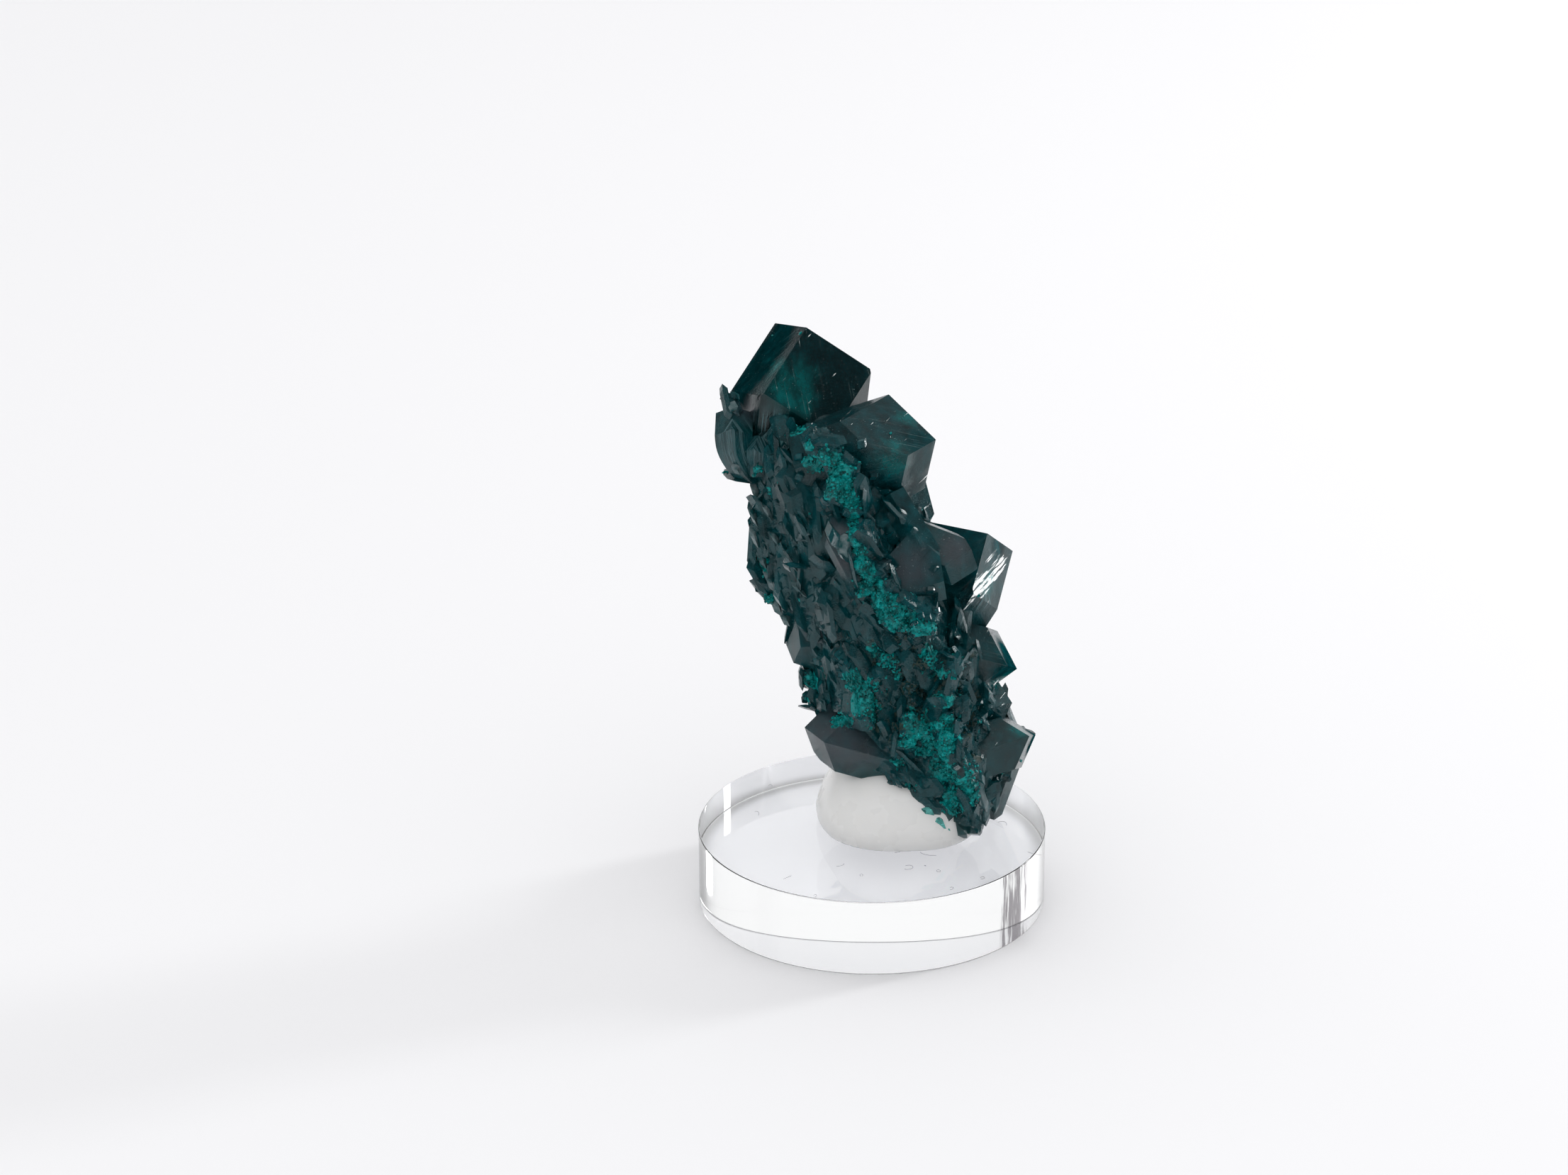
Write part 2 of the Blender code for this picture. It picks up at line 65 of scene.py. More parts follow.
# The photograph and the camera that took it
PHOTO_WIDTH = 2212
PHOTO_HEIGHT = 1657
LENS = 100.0
SENSOR = 36.0
CAMERA_RISE = math.radians(22.75)
CAMERA_ROLL = math.radians(-0.34)
CAMERA_DISTANCE = 311.8
CAMERA_AIM = Vector((-6.32, 0.0, 24.53))
# How many pixels to the side a spot is looked for when it misses the crystals
OUTLINE_REACH = 60
OUTLINE_STEP = 4

# The clear disc, read from the frame
DISC_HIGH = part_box("acrylic_base")[1]
DISC_RADIUS = DISC_HIGH.x / MM
DISC_TOP = DISC_HIGH.z / MM

# Lean of the three cap faces from the long axis, in degrees
CAP_LEAN = 51.0
# Facets larger than this many square millimetres stay smooth
CLEAN_FACET = 1.6
# Cosine of the angle below which neighbouring faces are one facet
FLAT_ENOUGH = 0.9999
# How close in millimetres, and how parallel, a face lies to the plane of a main crystal
PLANE_REACH = 0.03
PLANE_COSINE = 0.995
# All six prism faces equally far out
EVEN = (1.0,) * 6
# Main crystals: tip, long axis, turn from the front, distance to the faces, share of it for each
MAIN_CRYSTALS = (
    ((-4.6, 6.0, 42.1), (0.09, -0.29, 0.95), -3, 4.2, (1.02, 1.04, 1.0, 1.0, 0.96, 1.06)),
    ((4.5, 1.0, 35.4), (0.92, -0.15, 0.36), 20, 3.77, (0.61, 0.94, 1.2, 1.0, 0.99, 1.05)),
    ((8.3, 2.0, 27.8), (0.40, -0.33, 0.85), 35, 3.42, (0.99, 0.87, 0.99, 1.0, 1.24, 0.93)),
    ((10.6, 2.4, 17.0), (0.94, 0.14, -0.32), 6, 2.36, EVEN),
    ((10.2, 0.8, 15.0), (0.96, -0.22, 0.16), 12, 2.1, EVEN),
    ((11.95, 0.9, 12.4), (0.91, 0.40, 0.11), 2, 1.95, EVEN),
    ((8.4, 0.5, 5.3), (-0.34, -0.22, -0.91), 5, 1.45, (0.85, 1.5, 1.5, 1.0, 0.5, 0.5)),
    ((7.6, -0.6, 6.2), (0.20, -0.30, -0.93), 20, 1.3, EVEN),
    ((6.9, -3.0, 5.8), (0.66, -0.10, -0.74), 0, 0.9, EVEN),
    ((7.9, -2.6, 5.9), (0.62, -0.12, -0.77), 20, 0.8, EVEN),
    ((-9.9, 4.2, 36.8), (-0.05, -0.15, 0.99), 25, 1.35, EVEN),
    ((-8.1, 3.4, 34.9), (0.02, -0.20, 0.98), 10, 0.85, EVEN),
    ((-3.5, 0.3, 22.0), (0.27, -0.45, 0.85), 57, 1.48, EVEN),
    ((-4.9, -1.7, 14.3), (-0.95, -0.05, 0.31), 35, 2.12, (0.84, 0.99, 1.0, 0.94, 1.14, 0.85)),
    ((-3.0, -2.6, 31.0), (-0.46, 0.14, 0.88), 3, 1.2, (0.7, 1.0, 1.0, 1.0, 1.0, 1.0)),
    ((5.2, -3.4, 25.0), (0.74, -0.38, -0.56), -23, 2.2, (0.55, 1.0, 1.0, 1.0, 1.0, 1.0)),
    ((4.3, -2.2, 26.9), (0.50, -0.41, -0.76), -41, 1.1, EVEN),
    ((7.5, -1.2, 26.4), (0.91, -0.30, -0.27), -45, 1.7, (0.7, 1.0, 1.0, 1.0, 1.0, 1.0)),
    ((6.8, 8.2, 23.5), (0.75, 0.50, 0.45), 0, 2.8, EVEN),
    ((3.6, 9.6, 30.5), (0.45, 0.70, 0.55), 20, 2.7, EVEN),
    ((9.6, 6.6, 15.2), (0.85, 0.50, 0.10), 10, 2.3, EVEN),
    ((-1.2, 12.8, 27.2), (-0.05, 0.94, 0.33), 15, 2.6, EVEN),
    ((-3.6, 11.2, 19.5), (-0.35, 0.93, 0.05), 5, 2.3, EVEN),
    ((2.6, 10.6, 14.8), (0.10, 0.97, -0.20), 25, 2.2, EVEN),
    ((-8.3, 10.0, 32.5), (-0.65, 0.60, 0.45), 10, 2.1, EVEN),
)
# Long axis that the lines on all other ground run along
COMMON_AXIS = (0.25, -0.30, 0.92)
# How the small crystals lie, as a place and a direction there
LIE_OF_CRYSTALS = (
    ((-8.0, 2.0, 30.0), (-0.38, -0.10, 0.92)),
    ((-4.0, -1.0, 22.0), (-0.40, -0.10, 0.90)),
    ((-1.0, -3.0, 27.0), (-0.45, -0.10, 0.88)),
    ((2.0, -4.0, 18.0), (-0.35, -0.20, 0.90)),
    ((2.0, -3.0, 10.0), (-0.66, 0.10, 0.74)),
    ((7.5, -3.0, 17.0), (0.30, -0.30, 0.90)),
    ((9.0, 2.0, 9.0), (0.35, -0.10, 0.93)),
    ((4.0, 8.0, 22.0), (0.10, 0.20, 0.95)),
    ((-4.0, 10.0, 22.0), (-0.30, 0.20, 0.93)),
)

# Sugary green seams, in pixels of the photograph: u, v, radius
SUGAR_SPOTS = (
    (1150, 655, 14), (1165, 650, 16), (1180, 665, 24), (1170, 685, 18), (1192, 690, 20),
    (1201, 706, 16), (1204, 730, 12), (1208, 755, 11), (1213, 780, 12), (1222, 805, 15),
    (1230, 828, 19), (1246, 852, 23), (1268, 870, 21), (1290, 884, 20), (1312, 890, 14),
    (1124, 610, 19), (1110, 606, 10), (1140, 625, 10), (1096, 640, 8), (1070, 660, 7),
    (1238, 915, 14), (1250, 935, 14), (1260, 950, 12), (1205, 960, 17), (1222, 975, 21),
    (1215, 1000, 21), (1232, 1005, 17), (1195, 1010, 14), (1180, 1020, 9), (1306, 895, 10),
    (1314, 920, 13), (1322, 950, 14), (1328, 985, 15), (1332, 1020, 17), (1338, 1045, 17),
    (1283, 1010, 17), (1300, 1025, 21), (1285, 1045, 17), (1310, 1052, 17), (1335, 1085, 21),
    (1350, 1100, 26), (1365, 1115, 21), (1345, 1125, 17), (1330, 1065, 12), (1348, 1140, 11),
    (1078, 800, 14), (1088, 842, 13), (1100, 874, 11), (1086, 694, 6), (1144, 960, 10),
    (1145, 985, 12), (1270, 1075, 9), (1286, 1104, 11),
)
# Facets that catch the window: u, v, length and width in pixels, slant in the picture
GLINTS = (
    (1174, 756, 44, 13, -75), (1189, 782, 26, 7, -58), (1268, 724, 26, 9, -55),
    (1285, 748, 18, 7, -55), (1238, 748, 22, 5, -88), (1311, 832, 14, 6, 20),
    (1309, 848, 20, 14, 25), (1318, 862, 12, 6, 25), (1296, 870, 12, 6, 40),
    (1306, 872, 14, 6, 35), (1288, 880, 10, 4, 10), (1214, 627, 26, 8, 32),
    (1231, 672, 14, 6, 20), (1125, 645, 16, 6, 25), (1127, 672, 14, 8, -10),
    (1139, 602, 10, 6, 20), (1347, 1082, 12, 7, 75), (1098, 660, 6, 5, 0),
    (1316, 802, 12, 5, -20), (1085, 812, 46, 6, -60), (1100, 845, 44, 7, -60),
    (1112, 800, 30, 4, -42),
)
# Overlapping plates near the left outline, in the same terms
PLATES = (
    (1052, 695, 50, 5, -68), (1060, 725, 44, 5, -66), (1066, 755, 40, 6, -70),
    (1076, 785, 40, 7, -64), (1088, 815, 50, 9, -62), (1100, 848, 50, 10, -62),
    (1110, 872, 26, 8, -58), (1096, 760, 40, 4, -55), (1116, 790, 44, 4, -50),
    (1084, 720, 36, 4, -60), (1040, 660, 20, 7, -55), (1128, 830, 36, 4, -40),
    (1190, 768, 40, 14, -62), (1034, 574, 20, 9, 60),
)
# Place to the left that the plates mirror
PLATES_FACE = (-300.0, -150.0, 60.0)
# Pale turquoise crust between crystal and putty, in the same terms
TURQUOISE = ((1308, 1143, 30, 9, -42), (1322, 1156, 36, 9, -45), (1334, 1168, 22, 7, -48))
TURQUOISE_COLOUR = (0.16, 0.60, 0.56)
# Ridged face that breaks up the light of the window: u, v, radius
RIDGED_SPOTS = (
    (1408, 798, 20), (1398, 806, 23), (1390, 816, 20), (1382, 826, 17), (1374, 838, 14),
    (1366, 849, 11), (1360, 857, 8),
)
# The main crystal that this face belongs to, and how its ridges run in the picture
RIDGED_CRYSTAL = 2
RIDGES_SLANT = math.radians(47)
# Dark brownish pitted ground in the broken front: u, v, radius
PITTED_SPOTS = (
    (1270, 915, 40), (1285, 950, 42), (1290, 985, 36), (1262, 985, 30), (1370, 1010, 34),
    (1376, 1050, 26), (1250, 1020, 28), (1360, 950, 30),
)
# Lined faces: u, v, radius
STRIAE_SPOTS = (
    (1035, 610, 26), (1045, 640, 24), (1072, 640, 22), (1085, 600, 24), (1390, 850, 20),
)
# Faces with a grey reflection painted into their colour: u, v, radius
PAINTED_REFLECTION_SPOTS = (
    (1175, 1030, 46), (1205, 1055, 34), (1280, 800, 30), (1050, 580, 16), (1345, 775, 20),
    (1170, 750, 22), (1195, 790, 20), (1150, 885, 24),
)
# Faces that mirror little: u, v, radius
DULL_SPOTS = (
    (1422, 915, 22), (1424, 930, 26), (1418, 945, 20), (1102, 468, 26), (1088, 492, 34),
    (1070, 518, 34), (1052, 542, 28), (1456, 1046, 16), (1450, 1068, 16), (1440, 1084, 14),
    (1432, 1100, 12),
)
# Faces that mirror about half: u, v, radius
HALF_DULL_SPOTS = ((1300, 625, 20), (1299, 655, 20), (1293, 685, 16), (1408, 770, 14))
HALF_DULL = 0.55
# How many radii from its centre a spot has faded away
SPOT_FADE = 1.6
# The main crystal at the upper left whose foot hangs free, and how its lower end is drawn in
ROUNDED = 10
FOOT_START = 2.4
FOOT_LENGTH = 3.2
FOOT_DRAW = 1.3
# Main crystals darker than the others: which one, and how much of its green is left
TONES = ((0, 0.25), (1, 0.6), (3, 0.7), (5, 0.7), (6, 0.8))
# Green glow painted into the colour where light seems to come through the big crystals: u, v,
# radius
PAINTED_GLOW_SPOTS = (
    (1114, 540, 34), (1128, 560, 26), (1098, 520, 20), (1110, 606, 22), (1260, 650, 26),
    (1280, 590, 14), (1392, 822, 20), (1440, 1030, 16), (1408, 960, 20),
)
# Lowest height in millimetres at which anything is strewn, clear of the putty
STREWN_ABOVE = 8.0
# Ground whose normal has a smaller upward part than this stays bare of small crystals
STREWN_SLOPE = -0.75
# Waves per millimetre of the grains' patches
PATCH_WAVE = 0.9
# Waves per millimetre of the roughened ground, and how strong the finer ones are
COARSE_WAVE = 2.3
FINE_WAVE = 5.1
FINE_SHARE = 0.6
# How densely small crystals stand on the back, against the front
BACK_SHARE = 0.75
# Direction of the front of the group, towards the camera
FRONT_WAY = (0.0, -0.93, 0.37)


class DioptaseSizes(bpy.types.PropertyGroup):
    """Sizes of the crystals, the base and the lint"""

    longest_edge: bpy.props.FloatProperty(
        name="Longest Edge", description="Longest mesh edge on the crystal group",
        default=0.7 * MM, unit="LENGTH", precision=5)
    roughness_depth: bpy.props.FloatProperty(
        name="Broken Ground Depth",
        description="How far the broken ground between crystals is roughened",
        default=0.13 * MM, unit="LENGTH", precision=5)
    grain_spacing: bpy.props.FloatProperty(
        name="Grain Spacing", description="Least distance between sugary grains",
        default=0.19 * MM, unit="LENGTH", precision=5)
    grain_size: bpy.props.FloatProperty(
        name="Grain Size", description="Radius of an average sugary grain",
        default=0.15 * MM, unit="LENGTH", precision=5)
    druse_spacing: bpy.props.FloatProperty(
        name="Small Crystal Spacing", description="Least distance between small crystals",
        default=0.80 * MM, unit="LENGTH", precision=5)
    druse_size: bpy.props.FloatProperty(
        name="Small Crystal Size", description="Radius of an average small crystal",
        default=0.46 * MM, unit="LENGTH", precision=5)
    disc_edge: bpy.props.FloatProperty(
        name="Disc Edge", description="Rounding on the rims of the clear disc",
        default=0.07 * MM, unit="LENGTH", precision=5)
    fibre_thickness: bpy.props.FloatProperty(
        name="Lint Thickness", description="Thickness of a lint fibre",
        default=0.024 * MM, unit="LENGTH", precision=5)


class DioptaseColours(bpy.types.PropertyGroup):
    """Colours of the crystals, the putty, the base and the floor"""

    absorption: bpy.props.FloatVectorProperty(
        name="Light Let Through", description="Colour that the crystal lets through",
        subtype="COLOR", default=(0.06, 0.73, 0.70), min=0, max=1)
    sugar: bpy.props.FloatVectorProperty(
        name="Sugary Green", description="Broken seams where the crystal is crushed",
        subtype="COLOR", default=(0.0, 0.34, 0.33), min=0, max=1)
    deep: bpy.props.FloatVectorProperty(
        name="Deep Green", description="Crystal seen into the dark",
        subtype="COLOR", default=(0.0015, 0.040, 0.047), min=0, max=1)
    pitted: bpy.props.FloatVectorProperty(
        name="Pitted Ground", description="Brownish ground in the pits",
        subtype="COLOR", default=(0.022, 0.040, 0.032), min=0, max=1)
    putty: bpy.props.FloatVectorProperty(
        name="Putty", description="Milky putty",
        subtype="COLOR", default=(0.90, 0.90, 0.89), min=0, max=1)
    acrylic: bpy.props.FloatVectorProperty(
        name="Acrylic", description="Clear base",
        subtype="COLOR", default=(0.985, 0.992, 0.995), min=0, max=1)
    floor: bpy.props.FloatVectorProperty(
        name="Floor", description="Plain pale floor",
        subtype="COLOR", default=(0.87, 0.868, 0.885), min=0, max=1)


class Number:
    """A number socket. Arithmetic on it adds Math nodes to its tree."""

    def __init__(self, tree, socket):
        self.tree = tree
        self.socket = socket

    def math(self, operation, *others, clamp=False):
        node = add_node(
            self.tree, "ShaderNodeMath", {"operation": operation, "use_clamp": clamp},
            dict(enumerate((self, *others))))
        return Number(self.tree, node.outputs[0])

    def __add__(self, other):
        return self.math("ADD", other)

    __radd__ = __add__

    def __sub__(self, other):
        return self.math("SUBTRACT", other)

    def __rsub__(self, other):
        return number(self.tree, other).math("SUBTRACT", self)

    def __mul__(self, other):
        return self.math("MULTIPLY", other)

    __rmul__ = __mul__

    def clamped(self):
        return self.math("ADD", 0.0, clamp=True)

    def swing(self, amount):
        """A pattern that runs evenly to both sides of 0."""
        return (self - 0.5) * amount

    def step(self, low, high):
        """0 below low, 1 above high and smooth between."""
        node = add_node(
            self.tree, "ShaderNodeMapRange", {"interpolation_type": "SMOOTHSTEP"},
            {"Value": self, "From Min": low, "From Max": high})
        return Number(self.tree, node.outputs["Result"])


def number(tree, value):
    """A plain number as a socket."""
    node = tree.nodes.new("ShaderNodeValue")
    node.outputs[0].default_value = value
    return Number(tree, node.outputs[0])


def find_socket(sockets, key):
    """The socket at a place in the list, or the one in use under a name."""
    if isinstance(key, int):
        return sockets[key]
    return next(s for s in sockets if s.name == key and s.enabled)


def add_node(tree, kind, settings=None, inputs=None):
    """A node with its settings made first, then the values or links of its sockets."""
    node = tree.nodes.new(kind)
    for name, value in (settings or {}).items():
        setattr(node, name, value)
    for key, value in (inputs or {}).items():
        socket = find_socket(node.inputs, key)
        if isinstance(value, Number):
            tree.links.new(value.socket, socket)
        elif isinstance(value, bpy.types.NodeSocket):
            tree.links.new(value, socket)
        else:
            socket.default_value = value
    return node


def vector_math(tree, operation, first, second=(0, 0, 0)):
    """The direction that comes of a Vector Math node."""
    key = "Scale" if operation == "SCALE" else 1
    return add_node(tree, "ShaderNodeVectorMath", {"operation": operation},
                    {0: first, key: second}).outputs["Vector"]


class Finish:
    """A material under construction."""

    def __init__(self, name):
        self.material = bpy.data.materials.new(name)
        self.material.use_nodes = True
        self.tree = self.material.node_tree
        self.tree.nodes.clear()
        self.output = self.tree.nodes.new("ShaderNodeOutputMaterial")
        self.place = self.node("ShaderNodeTexCoord").outputs["Object"]

    def node(self, kind, settings=None, inputs=None):
        return add_node(self.tree, kind, settings, inputs)

    def vector(self, operation, first, second=(0, 0, 0)):
        return vector_math(self.tree, operation, first, second)

    def noise(self, size_mm, detail=2.0, roughness=0.5, where=None, stretch=(1, 1, 1)):
        """Noise whose features are about this many millimetres across."""
        scale = 1 / (size_mm * MM)
        scaled = self.vector("MULTIPLY", where or self.place, [scale * s for s in stretch])
        node = self.node(
            "ShaderNodeTexNoise", {},
            {"Vector": scaled, "Scale": 1.0, "Detail": detail, "Roughness": roughness})
        return Number(self.tree, node.outputs["Fac"])

    def attribute(self, name):
        node = self.node("ShaderNodeAttribute", {"attribute_name": name})
        return Number(self.tree, node.outputs["Fac"])

    def blend(self, share, first, second):
        """A colour between two colours."""
        node = self.node(
            "ShaderNodeMix", {"data_type": "RGBA"},
            {"Factor": share, "A": colour(first), "B": colour(second)})
        return find_socket(node.outputs, "Result")

    def bump(self, height, depth_mm, strength=1.0, normal=None):
        inputs = {"Height": height, "Distance": depth_mm * MM, "Strength": strength}
        if normal is not None:
            inputs["Normal"] = normal
        return self.node("ShaderNodeBump", {}, inputs).outputs["Normal"]

    def surface(self, **inputs):
        keys = {key.replace("_", " "): value for key, value in inputs.items()}
        return self.node("ShaderNodeBsdfPrincipled", {}, keys).outputs[0]

    def mix(self, share, first, second):
        return self.node("ShaderNodeMixShader", {}, {0: share, 1: first, 2: second}).outputs[0]

    def finish(self, surface, volume=None):
        self.tree.links.new(surface, self.output.inputs["Surface"])
        if volume is not None:
            self.tree.links.new(volume, self.output.inputs["Volume"])
        return self.material


def colour(value):
    """A socket as it is, or three numbers with a full alpha."""
    if isinstance(value, bpy.types.NodeSocket):
        return value
    return (*value[:3], 1.0)


# Picking points from the photograph

def camera_axes():
    """The camera's right, up and back directions."""
    back = Vector((0, -math.cos(CAMERA_RISE), math.sin(CAMERA_RISE)))
    level = Vector((1, 0, 0))
    upright = level.cross(-back)
    right = level * math.cos(CAMERA_ROLL) + upright * math.sin(CAMERA_ROLL)
    up = upright * math.cos(CAMERA_ROLL) - level * math.sin(CAMERA_ROLL)
    return right, up, back


def camera_place():
    return CAMERA_AIM + camera_axes()[2] * CAMERA_DISTANCE


def picture_ray(u, v):
    """The direction from the camera through a pixel of the photograph."""
    right, up, back = camera_axes()
    pixels = PHOTO_WIDTH * LENS / SENSOR
    ray = right * ((u - PHOTO_WIDTH / 2) / pixels) - up * ((v - PHOTO_HEIGHT / 2) / pixels) - back
    return ray.normalized()


def on_mesh(tree, u, v):
    """The point of a mesh seen at a pixel, in millimetres, or None."""
    hit, _, _, _ = tree.ray_cast(camera_place() * MM, picture_ray(u, v))
    return None if hit is None else np.array(hit) / MM


def beside_outline(tree, u, v):
    """The first point of a mesh seen at a pixel or a little to its right or left."""
    for shift in range(0, OUTLINE_REACH, OUTLINE_STEP):
        for way in (shift, -shift):
            place = on_mesh(tree, u + way, v)
            if place is not None:
                return place
    raise ValueError(f"nothing of the crystal group lies near pixel {u}, {v}")


def on_level(u, v, height):
    """The point of a level plane seen at a pixel, in millimetres."""
    start = camera_place()
    ray = picture_ray(u, v)
    return start + ray * ((height - start.z) / ray.z)


def pixels_to_mm(radius):
    """A length in pixels of the photograph, at the distance that the camera aims at."""
    return radius * CAMERA_DISTANCE / (PHOTO_WIDTH * LENS / SENSOR)


# Meshes and pieces

def add_piece(name, mesh, slot, *nodes):
    """An object for a finished mesh, tied to the frame."""
    piece = bpy.data.objects.new(name, mesh)
    bpy.context.scene.collection.objects.link(piece)
    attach(piece, BODY)
    if nodes:
        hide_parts(*nodes)
    return piece


def set_values(mesh, name, values, kind="FLOAT"):
    """A number or a direction for every point of a mesh."""
    layer = mesh.attributes.new(name, kind, "POINT")
    key = "value" if kind == "FLOAT" else "vector"
    layer.data.foreach_set(key, np.asarray(values, np.float32).ravel())


def read_values(items, key, width=1, kind=np.float32):
    """What each item of a mesh holds under a key, in rows if it is more than one number."""
    values = np.empty(len(items) * width, kind)
    items.foreach_get(key, values)
    return values if width == 1 else values.reshape(-1, width)


def smooth_mesh(name, points, faces, sharp_degrees):
    """A mesh from points in millimetres, shaded smooth but for its sharp edges."""
    mesh = bpy.data.meshes.new(name)
    mesh.from_pydata([[part * MM for part in point] for point in points], [], faces)
    mesh.shade_smooth()
    mesh.set_sharp_from_angle(angle=math.radians(sharp_degrees))
    return mesh


def ring_walls(rings, sides):
    """Faces between rings of points that stand one above another."""
    faces = []
    for ring in range(rings - 1):
        for side in range(sides):
            here = ring * sides + side
            beside = ring * sides + (side + 1) % sides
            faces.append((here, beside, beside + sides, here + sides))
    return faces


# Three planes meet in a corner where their determinant is larger than this
CORNER_DETERMINANT = 1e-4
# Numbers closer than this are the same
TOLERANCE = 1e-6


def crystal_planes(tip, axis, spin, radius, widths):
    """Outward normals and distances of the six prism faces and three cap faces."""
    tip = np.array(tip)
    axis = np.array(axis) / np.linalg.norm(axis)
    front = np.array((0.0, -1.0, 0.0) if abs(axis[1]) < 0.9 else (0.0, 0.0, 1.0))
    front = front - front.dot(axis) * axis
    front /= np.linalg.norm(front)
    side = np.cross(axis, front)
    normals = []
    distances = []
    for face, width in enumerate(widths):
        turn = math.radians(spin + 60 * face)
        normals.append(math.cos(turn) * front + math.sin(turn) * side)
        distances.append(normals[-1].dot(tip) + radius * width)
    lean = math.radians(CAP_LEAN)
    for face in range(3):
        turn = math.radians(spin + 30 + 120 * face)
        outward = math.cos(turn) * front + math.sin(turn) * side
        normals.append(math.sin(lean) * outward + math.cos(lean) * axis)
        distances.append(normals[-1].dot(tip))
    return np.array(normals), np.array(distances)


def small_crystal(name, long):
    """A prism of radius 1 and the given half length, with a cap at both ends."""
    normals, distances = crystal_planes((0, 0, long), (0, 0, 1), 30, 1.0, EVEN)
    normals = np.vstack([normals, -normals[6:]])
    distances = np.append(distances, distances[6:])
    corners = []
    for chosen in combinations(range(len(normals)), 3):
        three = normals[list(chosen)]
        if abs(np.linalg.det(three)) > CORNER_DETERMINANT:
            point = np.linalg.solve(three, distances[list(chosen)])
            if np.all(normals @ point <= distances + TOLERANCE):
                corners.append(point)
    shell = bmesh.new()
    for point in np.unique(np.round(corners, 5), axis=0):
        shell.verts.new(point)
    bmesh.ops.convex_hull(shell, input=shell.verts)
    bmesh.ops.dissolve_limit(shell, angle_limit=0.01, verts=shell.verts, edges=shell.edges)
    bmesh.ops.recalc_face_normals(shell, faces=shell.faces)
    mesh = bpy.data.meshes.new(name)
    shell.to_mesh(mesh)
    shell.free()
    return mesh


# Geometry Nodes

def new_tree(name, inputs):
    """A Geometry Nodes tree with named inputs, and its input and output nodes."""
    tree = bpy.data.node_groups.new(name, "GeometryNodeTree")
    tree.interface.new_socket("Geometry", in_out="INPUT", socket_type="NodeSocketGeometry")
    for label, kind in inputs.items():
        tree.interface.new_socket(label, in_out="INPUT", socket_type="NodeSocket" + kind)
    tree.interface.new_socket("Geometry", in_out="OUTPUT", socket_type="NodeSocketGeometry")
    return tree, tree.nodes.new("NodeGroupInput").outputs, tree.nodes.new("NodeGroupOutput")


def close_tree(tree, geometry, material, result):
    """Ends a tree in real geometry with its material."""
    real = add_node(tree, "GeometryNodeRealizeInstances", {}, {"Geometry": geometry})
    dressed = add_node(tree, "GeometryNodeSetMaterial", {},
                       {"Geometry": real.outputs[0], "Material": material})
    tree.links.new(dressed.outputs[0], result.inputs[0])


def run_tree(tree, mesh, values):
    """The mesh that a tree makes of another mesh."""
    carrier = bpy.data.objects.new(tree.name, mesh)
    bpy.context.scene.collection.objects.link(carrier)
    modifier = carrier.modifiers.new(tree.name, "NODES")
    modifier.node_group = tree
    for item in tree.interface.items_tree:
        if item.in_out == "INPUT" and item.name in values:
            modifier[item.identifier] = values[item.name]
    bpy.context.view_layer.update()
    graph = bpy.context.evaluated_depsgraph_get()
    made = bpy.data.meshes.new_from_object(carrier.evaluated_get(graph))
    bpy.data.objects.remove(carrier)
    return made


# Least and greatest size of a strewn crystal across, out of and along the surface
SMALLEST_SHARE = (0.6, 0.6, 0.55)
LARGEST_SHARE = (1.25, 1.5, 1.7)


def strew_tree(name, where):
    """Copies of a pattern laid along a surface, more where the named value is high.

    Each lies along the direction stored at its point with a face turned outwards.
    """
    tree, given, result = new_tree(name, {
        "Pattern": "Object", "Spacing": "Float", "Density": "Float", "Size": "Float",
        "Spread": "Float", "Flatness": "Float", "Sink": "Float", "Seed": "Int",
        "Material": "Material"})
    share = add_node(tree, "GeometryNodeInputNamedAttribute", {"data_type": "FLOAT"},
                     {"Name": where}).outputs[0]
    points = add_node(
        tree, "GeometryNodeDistributePointsOnFaces", {"distribute_method": "POISSON"},
        {"Mesh": given["Geometry"], "Distance Min": given["Spacing"],
         "Density Max": given["Density"], "Density Factor": share, "Seed": given["Seed"]})

    def dice(low, high, offset):
        """Random numbers that differ with the offset."""
        seed = Number(tree, given["Seed"]) + offset
        return add_node(tree, "FunctionNodeRandomValue", {"data_type": "FLOAT_VECTOR"},
                        {"Min": low, "Max": high, "Seed": seed}).outputs[0]

    def scatter(offset):
        """Random directions as long as the spread."""
        way = dice((-1, -1, -1), (1, 1, 1), offset)
        return vector_math(tree, "SCALE", way, given["Spread"])

    run = add_node(tree, "GeometryNodeInputNamedAttribute", {"data_type": "FLOAT_VECTOR"},
                   {"Name": "lie"})
    along = vector_math(tree, "ADD", find_socket(run.outputs, "Attribute"), scatter(3))
    outward = vector_math(tree, "ADD", points.outputs["Normal"], scatter(4))
    turned = add_node(tree, "FunctionNodeAlignRotationToVector", {"axis": "Z"},
                      {"Vector": along}).outputs[0]
    turned = add_node(tree, "FunctionNodeAlignRotationToVector", {"axis": "X", "pivot_axis": "Z"},
                      {"Rotation": turned, "Vector": outward}).outputs[0]
    flat = add_node(tree, "ShaderNodeCombineXYZ", {}, {
        "X": given["Flatness"], "Y": 1.0, "Z": 1.0}).outputs[0]
    size = vector_math(tree, "MULTIPLY", dice(SMALLEST_SHARE, LARGEST_SHARE, 7), flat)
    size = vector_math(tree, "SCALE", size, given["Size"])
    depth = Number(tree, given["Sink"]) * -1.0
    sunk = vector_math(tree, "SCALE", points.outputs["Normal"], depth)
    lowered = add_node(tree, "GeometryNodeSetPosition", {},
                       {"Geometry": points.outputs["Points"], "Offset": sunk})
    pattern = add_node(tree, "GeometryNodeObjectInfo", {}, {"Object": given["Pattern"]})
    copies = add_node(
        tree, "GeometryNodeInstanceOnPoints", {},
        {"Points": lowered.outputs[0], "Instance": pattern.outputs["Geometry"],
         "Rotation": turned, "Scale": size})
    close_tree(tree, copies.outputs[0], given["Material"], result)
    return tree


